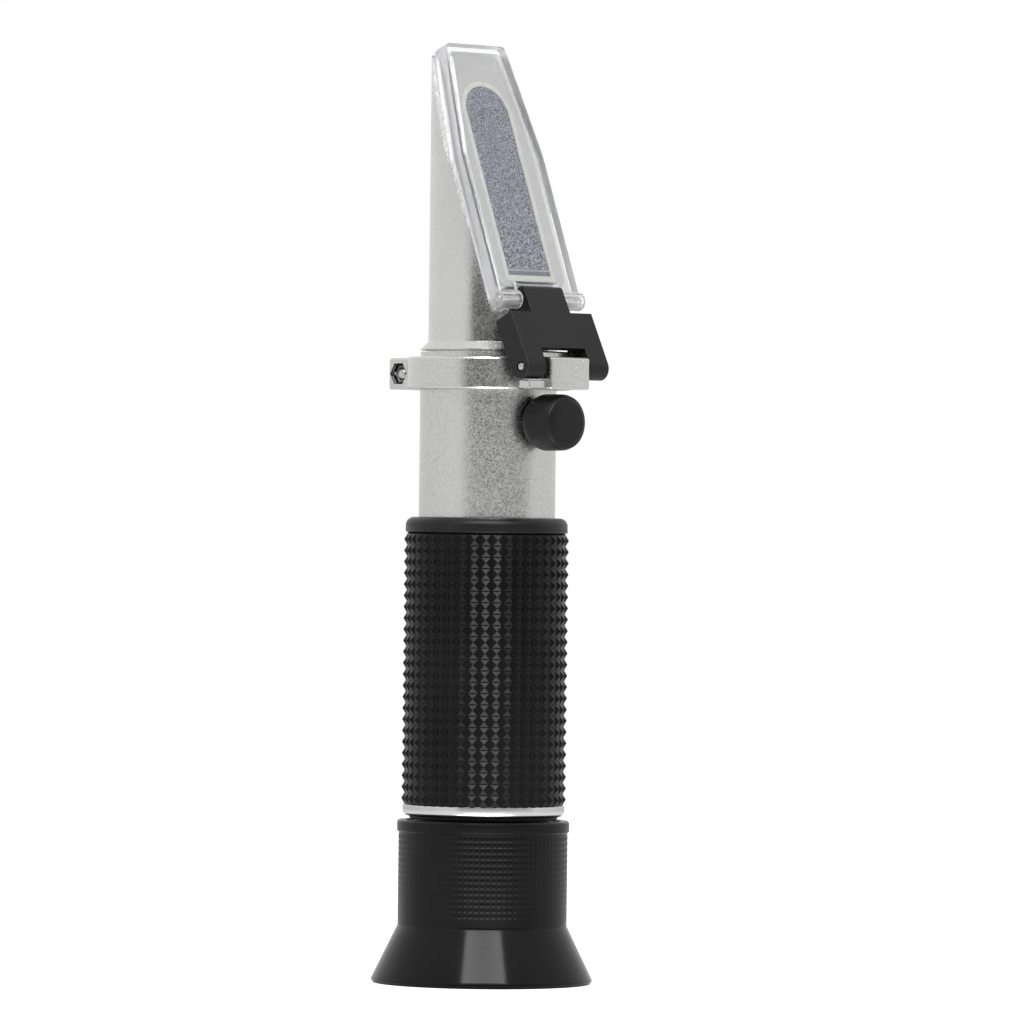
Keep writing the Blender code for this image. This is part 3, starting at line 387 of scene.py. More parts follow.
def dress(piece, finish, body, slot, *nodes):
    """Gives the piece its finish and its body, and hides the CAD nodes that it stands for. The slot is not used."""
    piece.data.materials.clear()
    piece.data.materials.append(finish)
    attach(piece, body)
    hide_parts(*nodes)


dress(light_tube, tube_finish, "light_tube", "anodised_aluminium", "main_tube")


# Light baffle, carriage guide and reticle holder. Turned brass rings, chemically blackened so that
# nothing shines inside the tube, pushed in from the ends. They keep their plain turned shapes.
def blackened(name, colour=(0.010, 0.010, 0.011), roughness=0.5, grooves=(40, 40, 9000), depth=0.006):
    """Blackened metal with the tool's fine turning lines."""
    made, tree, shader, place = start_finish(name, 0.6)
    lines = noise(tree, place, 1, 3.0, grooves)
    cloud = noise(tree, place, 300, 2.0)
    light = tuple(c * 1.7 for c in colour)
    dull = spread(tree, lines, roughness - 0.08, roughness + 0.1)
    finished(tree, shader, tinted(tree, cloud, colour, light), dull)
    relief(tree, shader, lines, depth)
    return made


def refinish(finish, *nodes):
    """Gives CAD nodes that keep their shape a better finish."""
    for node in nodes:
        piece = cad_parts[node]
        piece.data.materials.clear()
        piece.data.materials.append(finish)


inner_black = blackened("blackened_brass")
refinish(inner_black, "light_baffle", "carriage_guide", "reticle_holder")


# Optics inside the tube. The eyepiece lenses and the objective are polished glass, their carriage, cells
# and spacer are blackened like the rings, and the key, the reticle's ring and the bimetal strip are
# plain brass.
def clear_glass(name, tint, bend, roughness, clear=1.0):
    """Polished glass with the faintest haze where it has been wiped."""
    made, tree, shader, place = start_finish(name)
    smear = noise(tree, place, 220, 3.0)
    shader.inputs["IOR"].default_value = bend
    shader.inputs["Transmission Weight"].default_value = clear
    light = tuple(min(1.0, c * 1.03) for c in tint)
    finished(tree, shader, tinted(tree, smear, tint, light), spread(tree, smear, roughness, roughness + 0.03))
    relief(tree, shader, smear, 0.002)
    return made


glass_bend = 1.52
lens_glass = clear_glass("lens_glass", (0.94, 0.96, 0.97), glass_bend, 0.0)
refinish(lens_glass, "eye_lens", "field_lens", "objective_lens")
refinish(inner_black, "lens_carriage", "objective_cell", "lens_cell", "lens_spacer", "lens_retainer")
turned_brass, brass_tree, brass_shader, brass_place = start_finish("turned_brass", 1.0)
brass_lines = noise(brass_tree, brass_place, 1, 3.0, (1500, 1500, 9000))
tarnish = noise(brass_tree, brass_place, 500, 3.0)
brass_colour = tinted(brass_tree, tarnish, (0.50, 0.36, 0.14), (0.76, 0.60, 0.30))
finished(brass_tree, brass_shader, brass_colour, spread(brass_tree, brass_lines, 0.22, 0.42))
relief(brass_tree, brass_shader, brass_lines, 0.005)
refinish(turned_brass, "reticle_ring", "focus_key", "bimetal_strip")


# Reticle. A glass disc with the brix scale etched on it: a ladder of plain lines across the middle,
# each fifth one longer. It carries no words.
etched, etched_tree, etched_shader, etched_place = start_finish("etched_scale")
etched_shader.inputs["IOR"].default_value = glass_bend
etched_shader.inputs["Transmission Weight"].default_value = 1.0
disc = etched_tree.nodes.new("ShaderNodeSeparateXYZ")
etched_tree.links.new(etched_place.outputs["Object"], disc.inputs[0])
from_side, from_middle = disc.outputs["X"], disc.outputs["Y"]


def within(value, half):
    """1 where the value lies within half a span of zero, in millimetres, and 0 elsewhere."""
    return calculate(etched_tree, "LESS_THAN", calculate(etched_tree, "ABSOLUTE", value), half * mm)


def marks(step, half_length, half_width):
    """Lines across the disc, one at each step."""
    near = calculate(etched_tree, "PINGPONG", from_side, step * mm / 2)
    line = calculate(etched_tree, "LESS_THAN", near, half_width * mm)
    return calculate(etched_tree, "MULTIPLY", line, within(from_middle, half_length))


ladder = calculate(etched_tree, "MAXIMUM", marks(0.4, 1.0, 0.03), marks(2.0, 2.2, 0.04))
ladder = calculate(etched_tree, "MAXIMUM", ladder, within(from_middle, 0.04))
scale = calculate(etched_tree, "MULTIPLY", ladder, within(from_side, 6.1))
etched_haze = noise(etched_tree, etched_place, 260, 2.0)
etched_colour = tinted(etched_tree, scale, (0.95, 0.97, 0.98), (0.05, 0.08, 0.12), 0, 1)
finished(etched_tree, etched_shader, etched_colour, spread(etched_tree, etched_haze, 0.0, 0.03))
relief(etched_tree, etched_shader, scale, -0.01)
refinish(etched, "reticle")


# Eyepiece tube. Turned aluminium, blackened inside and out, with a plain neck that stays in sight
# between the eyecup and the trim ring. The lens cell's key runs in its slot.
def stacked(name, levels, place=upright):
    """Outlines of as many points each, one above another, joined into one closed piece."""
    shape = bmesh.new()
    rings = [[shape.verts.new(place(a, b, h) * mm) for a, b in outline] for outline, h in levels]
    shape.faces.new(rings[0])
    shape.faces.new(rings[-1])
    for lower, upper in zip(rings, rings[1:]):
        for i in range(len(lower)):
            j = (i + 1) % len(lower)
            shape.faces.new((lower[i], lower[j], upper[j], upper[i]))
    return mesh_piece(name, shape)


def extruded(name, outline, low, high, place=upright):
    """The outline carried from height low to height high."""
    return stacked(name, [(outline, low), (outline, high)], place)


def block(name, low, high, place=upright):
    """A plain block between two opposite corners."""
    outline = [(low[0], low[1]), (high[0], low[1]), (high[0], high[1]), (low[0], high[1])]
    return extruded(name, outline, low[2], high[2], place)


eyepiece_bore = 9.9
eyepiece_profile = [(eyepiece_bore, 13.6), (11.8, 13.6), (11.8, 29.85), (13.33, 29.85), (13.43, 29.95), (13.43, 30.55)]
eyepiece_profile += [(13.33, 30.65), (10.7, 30.65), (10.7, 47.95), (eyepiece_bore, 47.95)]
eyepiece_tube = turned("eyepiece_body", eyepiece_profile, 144)
carved(eyepiece_tube, cut=[block("key_slot", (-1.3, 8.9, 19.8), (1.3, 12.8, 26.4))])
dress(eyepiece_tube, inner_black, "light_tube", "blackened_metal", "eyepiece_tube")


# Trim ring. Polished stainless steel, turned, narrower at its foot and pushed on the tube below the
# grip. It mirrors the studio, so it has the brightest and the darkest spots of the lower half.
sleeve_bore = 12.67
trim_turns = [math.radians(8 + 6 * k) for k in range(14)]
trim_radius, trim_level, trim_belly, trim_drop = 13.75, 31.5, 0.95, 1.2
trim_profile = [(sleeve_bore, 30.72), (13.55, 30.72), (13.55, 30.45), (13.65, 30.33)]
trim_profile += [(trim_radius + trim_belly * math.sin(t), trim_level - trim_drop * math.cos(t)) for t in trim_turns]
trim_profile += [(14.7, trim_level), (14.68, 32.26), (14.6, 32.34), (sleeve_bore, 32.34)]
trim_ring = turned("polished_trim_ring", trim_profile, 160)
trim_finish, trim_tree, trim_shader, trim_place = start_finish("polished_steel", 1.0)
trim_lines = noise(trim_tree, trim_place, 1, 2.0, (60, 60, 6000))
trim_cloud = noise(trim_tree, trim_place, 160, 3.0)
trim_colour = tinted(trim_tree, trim_cloud, (0.72, 0.72, 0.715), (0.82, 0.82, 0.815))
finished(trim_tree, trim_shader, trim_colour, spread(trim_tree, trim_lines, 0.09, 0.21))
relief(trim_tree, trim_shader, trim_lines, 0.001)
dress(trim_ring, trim_finish, "light_tube", "polished_metal", "trim_ring")


# Grip sleeve. Black rubber, moulded with rows of blunt four-sided pyramids, and stretched over the
# tube. The teeth are placed on the core by rule: so many rows, so many columns, one pitch.
def node_tree_with(name, sizes):
    """A Geometry Nodes tree with a geometry input, the named sizes as inputs, and one output."""
    tree = bpy.data.node_groups.new(name, "GeometryNodeTree")
    tree.interface.new_socket("Geometry", in_out="INPUT", socket_type="NodeSocketGeometry")
    for label, value in sizes.items():
        kind = "NodeSocketInt" if isinstance(value, int) else "NodeSocketFloat"
        tree.interface.new_socket(label, in_out="INPUT", socket_type=kind).default_value = value
    tree.interface.new_socket("Material", in_out="INPUT", socket_type="NodeSocketMaterial")
    tree.interface.new_socket("Geometry", in_out="OUTPUT", socket_type="NodeSocketGeometry")
    return tree, tree.nodes.new("NodeGroupInput"), tree.nodes.new("NodeGroupOutput")


sunk_share = 0.06


def studded_skin():
    """Rows of blunt pyramids round a core, each a four-sided cone that points outwards."""
    sizes = {"Rows": 24, "Columns": 44, "Core Radius": 0.01446, "Tip Radius": 0.01493, "Foot": 0.03242}
    sizes |= {"Pitch": 0.00204, "Fill": 0.92, "Girth": 0.76, "Blunt": 0.04}
    tree, given, result = node_tree_with("studded_skin", sizes)

    def value(operation, *values):
        return calculate(tree, operation, *values)

    size = given.outputs
    count = value("MULTIPLY", size["Rows"], size["Columns"])
    points = tree.nodes.new("GeometryNodePoints")
    tree.links.new(count, points.inputs["Count"])
    index = tree.nodes.new("GeometryNodeInputIndex").outputs[0]
    row = value("FLOOR", value("DIVIDE", value("ADD", index, 0.25), size["Columns"]))
    column = value("SUBTRACT", index, value("MULTIPLY", row, size["Columns"]))
    turn = value("MULTIPLY", value("DIVIDE", value("ADD", column, 0.5), size["Columns"]), 2 * math.pi)
    depth = value("SUBTRACT", size["Tip Radius"], size["Core Radius"])
    sunk = value("MULTIPLY", depth, sunk_share)
    radius = value("SUBTRACT", size["Core Radius"], sunk)
    height = value("ADD", size["Foot"], value("MULTIPLY", value("ADD", row, 0.5), size["Pitch"]))
    spot = tree.nodes.new("ShaderNodeCombineXYZ")
    tree.links.new(value("MULTIPLY", radius, value("COSINE", turn)), spot.inputs["X"])
    tree.links.new(value("MULTIPLY", radius, value("SINE", turn)), spot.inputs["Y"])
    tree.links.new(height, spot.inputs["Z"])
    place = tree.nodes.new("GeometryNodeSetPosition")
    tree.links.new(points.outputs[0], place.inputs["Geometry"])
    tree.links.new(spot.outputs[0], place.inputs["Position"])
    tooth = tree.nodes.new("GeometryNodeMeshCone")
    tooth.inputs["Vertices"].default_value = 4
    tree.links.new(size["Blunt"], tooth.inputs["Radius Top"])
    tooth.inputs["Radius Bottom"].default_value = math.sqrt(0.5)
    tooth.inputs["Depth"].default_value = 1.0
    square = tree.nodes.new("GeometryNodeTransform")
    square.inputs["Rotation"].default_value = (0, 0, math.radians(45))
    tree.links.new(tooth.outputs["Mesh"], square.inputs["Geometry"])
    width = value("DIVIDE", value("MULTIPLY", size["Core Radius"], 2 * math.pi), size["Columns"])
    grow = tree.nodes.new("ShaderNodeCombineXYZ")
    tree.links.new(value("MULTIPLY", size["Pitch"], size["Fill"]), grow.inputs["X"])
    tree.links.new(value("MULTIPLY", width, size["Girth"]), grow.inputs["Y"])
    tree.links.new(value("ADD", depth, sunk), grow.inputs["Z"])
    facing = tree.nodes.new("ShaderNodeCombineXYZ")
    facing.inputs["Y"].default_value = math.radians(90)
    tree.links.new(turn, facing.inputs["Z"])
    copies = tree.nodes.new("GeometryNodeInstanceOnPoints")
    tree.links.new(place.outputs[0], copies.inputs["Points"])
    tree.links.new(square.outputs[0], copies.inputs["Instance"])
    tree.links.new(facing.outputs[0], copies.inputs["Rotation"])
    tree.links.new(grow.outputs[0], copies.inputs["Scale"])
    both = tree.nodes.new("GeometryNodeJoinGeometry")
    tree.links.new(size["Geometry"], both.inputs[0])
    tree.links.new(copies.outputs[0], both.inputs[0])
    real = tree.nodes.new("GeometryNodeRealizeInstances")
    tree.links.new(both.outputs[0], real.inputs[0])
    painted = tree.nodes.new("GeometryNodeSetMaterial")
    tree.links.new(real.outputs[0], painted.inputs["Geometry"])
    tree.links.new(size["Material"], painted.inputs["Material"])
    tree.links.new(painted.outputs[0], result.inputs[0])
    return tree


def grown(piece, tree, finish, smooth, **sizes):
    """Runs the tree on the piece with the given sizes and keeps the plain mesh that comes out."""
    step = piece.modifiers.new(tree.name, "NODES")
    step.node_group = tree
    sockets = {s.name: s.identifier for s in tree.interface.items_tree if s.in_out == "INPUT"}
    for label, value in sizes.items():
        step[sockets[label.replace("_", " ")]] = value
    step[sockets["Material"]] = finish
    return settled(piece, smooth)


def moulded_rubber(name, dark, light, roughness, grain=1500, depth=0.012, gloss=0.25):
    """Black rubber: a fine moulded grain, dull patches from handling and a faint bloom."""
    made, tree, shader, place = start_finish(name)
    fine = noise(tree, place, grain, 3.0)
    worn = noise(tree, place, 60, 3.0)
    dull = spread(tree, worn, roughness - 0.05, roughness + 0.06)
    finished(tree, shader, tinted(tree, worn, dark, light), dull)
    shader.inputs["Specular IOR Level"].default_value = gloss
    relief(tree, shader, fine, depth)
    return made


skin_tree = studded_skin()
grip_foot, grip_top, grip_radius = 32.36, 81.66, 14.46
grip_profile = [(sleeve_bore, grip_foot), (14.3, grip_foot), (grip_radius, 32.44), (grip_radius, 81.38)]
grip_profile += [(14.2, grip_top), (sleeve_bore, grip_top)]
grip_core = turned("moulded_grip", grip_profile, 132)
grip_rubber = moulded_rubber("grip_rubber", (0.0035, 0.0035, 0.004), (0.006, 0.006, 0.0065), 0.25, 1500, 0.006, 0.145)
grip_sleeve = grown(grip_core, skin_tree, grip_rubber, math.radians(20))
dress(grip_sleeve, grip_rubber, "light_tube", "black_rubber", "grip_sleeve")


# Collar. A black anodised aluminium ring that closes the grip at its top, with a rounded upper edge.
# It is turned and screwed down on the sleeve.
collar_foot, collar_top, collar_round, round_centre = 81.68, 84.43, 1.5, (13.2, 82.93)
collar_turns = [math.pi / 2 * k / 10 for k in range(11)]
collar_arc = [(collar_round * math.cos(t), collar_round * math.sin(t)) for t in collar_turns]
collar_profile = [(sleeve_bore, collar_foot), (14.5, collar_foot), (14.64, 81.74), (14.7, 81.88)]
collar_profile += [(round_centre[0] + a, round_centre[1] + b) for a, b in collar_arc]
collar_profile += [(sleeve_bore, collar_top)]
collar = turned("grip_top_collar", collar_profile, 160)
collar_finish = blackened("collar_black", (0.012, 0.012, 0.013), 0.42, (60, 60, 5000), 0.004)
dress(collar, collar_finish, "light_tube", "blackened_metal", "grip_collar")


# Prism housing. Turned from aluminium bar with a spigot and a coned flange, milled across at a slant
# for the prism, then blasted and anodised like the tube. Its seal sits in the spigot's groove.
slant = math.radians(20.8006)
slant_sin, slant_cos = math.sin(slant), math.cos(slant)


def on_slant(a, b, h):
    """Outline across and up the slanted face, height out of it."""
    return Vector((h * slant_cos - b * slant_sin, a, h * slant_sin + b * slant_cos))


milled_face, hollow_top, head_top = 52.79, 165.7, 168.2
hollow_radius, spigot_radius, groove_radius, head_radius = 9.0, 10.7, 9.675, 11.0
housing_outline = [(0, hollow_top), (hollow_radius, hollow_top), (hollow_radius, 106.75), (spigot_radius, 106.75)]
housing_outline += [(spigot_radius, 109.35), (groove_radius, 109.35), (groove_radius, 110.75), (spigot_radius, 110.75)]
housing_outline += [(spigot_radius, 114.65), (tube_radius, 114.65), (tube_radius, 114.85)]
housing_outline += [(head_radius, 116.2), (head_radius, head_top), (0, head_top)]
housing_radii = [0, 0, 0, 0.1, 0, 0, 0, 0, 0, 0.03, 0.03, 0.05, 0.25, 0]
housing = turned("milled_prism_housing", rounded(housing_outline, housing_radii), 160)
carved(housing, cut=[block("milling", (-30, 90, milled_face), (30, 220, milled_face + 60), on_slant)])
housing_finish = blasted_aluminium("blasted_housing", (0.64, 0.64, 0.63), (0.675, 0.675, 0.665), 0.25, 0.055)
dress(housing, housing_finish, "light_tube", "anodised_aluminium", "prism_housing")
seal_rubber = moulded_rubber("seal_rubber", (0.012, 0.012, 0.012), (0.02, 0.02, 0.02), 0.3)
refinish(seal_rubber, "housing_seal")


# Clamp ring. An aluminium ring split at the back, with a lug and a stop tab in front for the cover.
# It is milled in one piece, and a small screw and nut draw its ears together.
def ring_arc(radius, start, end, steps):
    """Points on an arc about the outline's origin, turns in radians."""
    turns = [start + (end - start) * k / steps for k in range(steps + 1)]
    return [(radius * math.cos(t), radius * math.sin(t)) for t in turns]


lug_half, lug_reach, lug_corner, clamp_radius = 4.95, 20.9, 0.35, 14.8
slit_half = 0.6
slit_turn = math.asin(slit_half / sleeve_bore)


def clamp_shape(inset):
    """The clamp's outline seen from above, its outer edges drawn in by the inset, its bore and slit kept."""
    half, reach, radius = lug_half - inset, lug_reach - inset, clamp_radius - inset
    turn = math.asin(half / radius)
    corner = [(reach - lug_corner + a, half - lug_corner + b) for a, b in ring_arc(lug_corner, 0, math.pi / 2, 4)]
    shape = [(-reach, slit_half)] + [(-a, b) for a, b in corner]
    shape += ring_arc(radius, math.pi - turn, turn, 64)
    shape += corner[::-1] + [(a, -b) for a, b in corner]
    shape += ring_arc(radius, -turn, turn - math.pi, 64)
    shape += [(-a, -b) for a, b in corner[::-1]] + [(-reach, -slit_half)]
    return shape + ring_arc(sleeve_bore, math.pi + slit_turn, 3 * math.pi - slit_turn, 128)


def along_y(a, b, h):
    """Outline in X and Z, height along Y."""
    return Vector((a, h, b))


clamp_levels = [(clamp_shape(0.16), 107.65), (clamp_shape(0), 107.9)]
clamp_levels += [(clamp_shape(0), 113.04), (clamp_shape(0.1), 113.24), (clamp_shape(0.4), 113.4)]
clamp_ring = stacked("milled_clamp_ring", clamp_levels)
pin_axis, screw_axis = (18.3, 111.55), (-18.4, 110.525)
pad_turn = 0.3953
pad_outline = [(15.8, -4.9), (15.8, 4.9)] + ring_arc(12.72, pad_turn, -pad_turn, 16)
lug_pad = carved(extruded("lug_pad", pad_outline, 110.5, 114.5), edge=0.25)
stop_tab = carved(block("stop_tab", (17.3, -9.5, 107.7), (19.9, -3.95, 109.15)), edge=0.2)
pin_hole = rod("pin_hole", 0.95, -7, 7, along_y, pin_axis)
screw_hole = rod("screw_hole", 1.2, -7, 7, along_y, screw_axis)
head_recess = rod("head_recess", 2.1, 3.35, 7, along_y, screw_axis)
nut_pocket = rod("nut_pocket", 2.194, -7, -2.6, along_y, screw_axis, 6)
carved(clamp_ring, [lug_pad, stop_tab], [pin_hole, screw_hole, head_recess, nut_pocket])
mark_out = lug_reach + 0.05
punch_mark = turned("punch_mark", [(0, 20.72), (0.34, mark_out), (0, mark_out)], 24, along_x, (1.27, 110.87))
small_mark = turned("small_mark", [(0, 20.8), (0.16, mark_out), (0, mark_out)], 16, along_x, (3.2, 112.8))
carved(clamp_ring, cut=[punch_mark, small_mark])
clamp_finish = blasted_aluminium("blasted_clamp", (0.65, 0.65, 0.645), (0.69, 0.69, 0.68), 0.22, 0.06)
dress(clamp_ring, clamp_finish, "light_tube", "anodised_aluminium", "clamp_ring")


small_steel, steel_tree, steel_shader, steel_place = start_finish("small_steel", 1.0)
steel_patches = noise(steel_tree, steel_place, 900, 3.0)
steel_lines = noise(steel_tree, steel_place, 1, 3.0, (9000, 300, 9000))
steel_colour = tinted(steel_tree, steel_patches, (0.42, 0.41, 0.40), (0.68, 0.67, 0.65))
finished(steel_tree, steel_shader, steel_colour, spread(steel_tree, steel_lines, 0.2, 0.38))
relief(steel_tree, steel_shader, steel_lines, 0.004)
shank_radius, screw_head_radius, screw_head_out = 0.95, 1.8, 4.8
screw_profile = [(0, -4.15), (0.75, -4.15), (shank_radius, -3.95), (shank_radius, 3.65), (screw_head_radius, 3.65)]
screw_profile += [(screw_head_radius, 4.55), (1.55, screw_head_out), (0, screw_head_out)]
clamp_screw = turned("clamp_cheese_screw", screw_profile, 48, along_y, screw_axis)
carved(clamp_screw, cut=[block("driver_slot", (-22, 110.225, 4.25), (-15, 110.825, 6), along_y)])
dress(clamp_screw, small_steel, "light_tube", "screw_steel", "clamp_screw")


def mottled(name, dark, light, dull, scale, depth, detail=3.0, metallic=0.0):
    """A finish whose colour, dullness and relief in millimetres follow one noise."""
    made, tree, shader, place = start_finish(name, metallic)
    patches = noise(tree, place, scale, detail)
    finished(tree, shader, tinted(tree, patches, dark, light), spread(tree, patches, *dull))
    relief(tree, shader, patches, depth)
    return made


nut_profile = rounded([(1.2, -3.9), (1.848, -3.9), (1.848, -2.9), (1.2, -2.9)], [0.1, 0.12, 0.12, 0.1])
clamp_nut = turned("clamp_hex_nut", nut_profile, 6, along_y, screw_axis)
# The nut's dark colour is painted shade for the deep pocket it sits in.
nut_shade_colours = (0.075, 0.08, 0.068), (0.16, 0.165, 0.145)
nut_steel = mottled("nut_steel_pocket_shade", *nut_shade_colours, (0.25, 0.45), 1600, 0.01, metallic=0.35)
dress(clamp_nut, nut_steel, "light_tube", "screw_steel", "clamp_nut")
refinish(small_steel, "strip_screw")


# Prism frame, sealant and prism. An anodised frame on the milled face holds the glass wedge, whose
# ground measuring face fills the window, and a cream bead of sealant closes the gap round it.
def tapered(half, foot, kink, top_half, top):
    """The cover's outline: level sides, then a taper to the narrower top."""
    return [(-half, foot), (half, foot), (half, kink), (top_half, top), (-top_half, top), (-half, kink)]


def window(margin):
    """Straight-sided window with a half-round top, grown by margin all round."""
    half, foot, middle, shoulder = 5.35 + margin, 116.1 - margin, -0.2, 147.75
    arch = [(middle + a, shoulder + b) for a, b in ring_arc(half, 0, math.pi, 40)]
    return [(middle - half, foot), (middle + half, foot), *arch]


frame_foot, frame_face, taper_from, through = 53.09, 54.74, 139.5, (50, 58)
frame_outline = rounded(tapered(8.4, 113.75, taper_from, 5.6, 159.1), [2.2, 2.2, 6, 0.7, 0.7, 6], 8)
prism_frame = extruded("anodised_prism_frame", frame_outline, frame_foot, frame_face, on_slant)
carved(prism_frame, edge=0.15)
carved(prism_frame, cut=[extruded("frame_opening", window(0.95), *through, on_slant)])
frame_finish = blasted_aluminium("blasted_frame", (0.585, 0.585, 0.575), (0.65, 0.65, 0.64), 0.4, 0.06)
dress(prism_frame, frame_finish, "light_tube", "anodised_aluminium", "prism_frame")

sealant = extruded("sealant_bead", window(0.945), frame_foot, 54.73, on_slant)
carved(sealant, cut=[extruded("bead_opening", window(0.01), *through, on_slant)])
cream = mottled("cream_sealant", (0.66, 0.65, 0.60), (0.74, 0.73, 0.68), (0.45, 0.62), 700, 0.03)
dress(sealant, cream, "light_tube", "sealant", "prism_sealant")

prism = extruded("prism_measuring_glass", window(0), frame_foot, 54.59, on_slant)
wedge_out, wedge_foot, wedge_depth, wedge_half, wedge_side, wedge_gap = 53.99, 121.5, 2.4, 4.9, 5.1, 0.3
wedge_front = math.sqrt(hollow_radius**2 - wedge_side**2) - wedge_gap
wedge_top = on_slant(0, 148.2, wedge_out)
wedge_nose = on_slant(0, (wedge_out * slant_cos - wedge_front) / slant_sin, wedge_out)
wedge_outline = [(wedge_front, wedge_foot), (wedge_front, wedge_nose.z), (wedge_top.x, wedge_top.z)]
wedge_outline += [(wedge_top.x - wedge_depth, wedge_top.z), (wedge_top.x - wedge_depth, wedge_foot)]
carved(prism, [extruded("wedge", wedge_outline, -wedge_half, wedge_half, along_y)])
ground, ground_tree, ground_shader, ground_place = start_finish("ground_glass_face")
ground_shader.inputs["IOR"].default_value = 1.62
ground_shader.inputs["Transmission Weight"].default_value = 0.1
up_face = vector_math(ground_tree, "DOT_PRODUCT", ground_place.outputs["Object"], (-slant_sin, 0.0, slant_cos))
scored = ground_tree.nodes.new("ShaderNodeMapping")
scored.vector_type = "TEXTURE"
scored.inputs["Rotation"].default_value = (math.radians(38), 0, 0)
scored.inputs["Scale"].default_value = (1 / 3000, 1 / 1300, 1 / 5600)
ground_tree.links.new(ground_place.outputs["Object"], scored.inputs["Vector"])
score = ground_tree.nodes.new("ShaderNodeTexNoise")
score.inputs["Scale"].default_value = 1
score.inputs["Detail"].default_value = 1
ground_tree.links.new(scored.outputs["Vector"], score.inputs["Vector"])
lapping = ground_tree.nodes.new("ShaderNodeMix")
ground_tree.links.new(spread(ground_tree, up_face, 0.85, 0, 0.122, 0.142), lapping.inputs["Factor"])
ground_tree.links.new(noise(ground_tree, ground_place, 4200, 1.0), lapping.inputs["A"])
ground_tree.links.new(score.outputs["Fac"], lapping.inputs["B"])
ground_grain = lapping.outputs["Result"]
ground_colour = tinted(ground_tree, ground_grain, (0.01, 0.013, 0.03), (0.41, 0.43, 0.52), 0.43, 0.59)


def banded(tree, along, low, high, band, rest):
    """The band's colour between two heights, and the rest outside them."""
    inside = calculate(tree, "COMPARE", along, (low + high) / 2 * mm, (high - low) / 2 * mm)
    node = tree.nodes.new("ShaderNodeMix")
    node.data_type = "RGBA"
    node.inputs["B"].default_value = (*band, 1)
    tree.links.new(rest, node.inputs["A"])
    tree.links.new(inside, node.inputs["Factor"])
    return node.outputs["Result"]


# A dark band and a thin light line across the foot of the ground face are painted shade and a painted highlight for
# the bevel along the prism's lower edge.
ground_colour = banded(ground_tree, up_face, 115.0, 117.0, (0.13, 0.14, 0.19), ground_colour)
ground_colour = banded(ground_tree, up_face, 117.0, 117.28, (0.42, 0.42, 0.45), ground_colour)
ground_cloud = noise(ground_tree, ground_place, 120, 3.0)
finished(ground_tree, ground_shader, ground_colour, spread(ground_tree, ground_cloud, 0.22, 0.34))
relief(ground_tree, ground_shader, ground_grain, 0.02)
dress(prism, ground, "light_tube", "ground_glass", "prism")


# Daylight plate. One moulding in clear acrylic: a shallow tray with a raised rim, and a knuckle either
# side of the bracket's tongue. A thin steel pin through the knuckles lets it tilt to sit flat.
plate_face, tray_floor, plate_bend = 56.34, 55.04, 8
plate_outline = tapered(10.2, 111.3, taper_from, 7.4, 160.9)
plate_profile = rounded(plate_outline, [0, 0, plate_bend, 0.9, 0.9, plate_bend], 6)
daylight_plate = extruded("clear_daylight_plate", plate_profile, frame_foot, plate_face, on_slant)
tray = rounded(tapered(8.9, 110.3, taper_from, 6.1, 159.6), [0, 0, plate_bend, 0.5, 0.5, plate_bend], 6)
pocket = extruded("pocket", tray, 52, tray_floor, on_slant)
plate_hinge = (12.35, 123.75)
tongue_half, knuckle_end, knuckle_bore, knuckle_radius = 5.4, 10.5, 1.0, 1.7
tongue_slot = rod("tongue_slot", 3.29, -tongue_half, tongue_half, along_y, plate_hinge, 96)
knuckles = []
for low, high in ((-knuckle_end, -tongue_half), (tongue_half, knuckle_end)):
    wall = [(knuckle_bore, low), (knuckle_radius, low), (knuckle_radius, high), (knuckle_bore, high)]
    knuckles.append(turned("knuckle", wall, 64, along_y, plate_hinge))
pin_bore = rod("pin_bore", 1.1, -12, 12, along_y, plate_hinge, 64)
carved(daylight_plate, cut=[pocket, tongue_slot, pin_bore])
carved(daylight_plate, knuckles, edge=0.28)
acrylic_bend = 1.49
acrylic = clear_glass("clear_acrylic", (0.965, 0.97, 0.975), acrylic_bend, 0.03)
dress(daylight_plate, acrylic, "plate", "clear_plastic", "daylight_plate")
acrylic_side = clear_glass("moulded_acrylic_side", (0.93, 0.93, 0.95), acrylic_bend, 0.3, 0.74)
daylight_plate.data.materials.append(acrylic_side)
flat_share, knuckle_face_area, knuckle_foot, knuckle_top = 0.8, 12e-6, 121.5 * mm, 126.5 * mm
for face in daylight_plate.data.polygons:
    side_face = abs(face.normal.dot(on_slant(0, 0, 1))) < flat_share
    height = face.center.dot(on_slant(0, 1, 0))
    knuckle_face = face.area < knuckle_face_area and knuckle_foot < height < knuckle_top
    if side_face and not knuckle_face:
        face.material_index = 1
plate_pin = rod("plate_hinge_pin", 0.75, -10.35, 10.35, along_y, plate_hinge, 48)
carved(plate_pin, edge=0.15)
dress(plate_pin, small_steel, "bracket", "screw_steel", "plate_pin")


# Cover bracket. Cast zinc, painted matt charcoal: two legs on the lug's pin, a cross bar with rounded
# shoulders, and a tongue that carries the plate's pin. Its bevelled edges are coloured lighter: a painted highlight.
lean_turn = math.radians(26.0)
pivot = along_y(*pin_axis, 0)
bracket_out = Vector((math.cos(lean_turn), 0, math.sin(lean_turn)))
bracket_up = Vector((-math.sin(lean_turn), 0, math.cos(lean_turn)))


def on_bracket(a, b, h):
    """Outline out of the bracket's face and up from its pin, height along Y."""
    return pivot + a * bracket_out + b * bracket_up + Vector((0, h, 0))


def across_bracket(a, b, h):
    """Outline across the bracket and up from its pin, height out of its face."""
    return on_bracket(h, b, a)


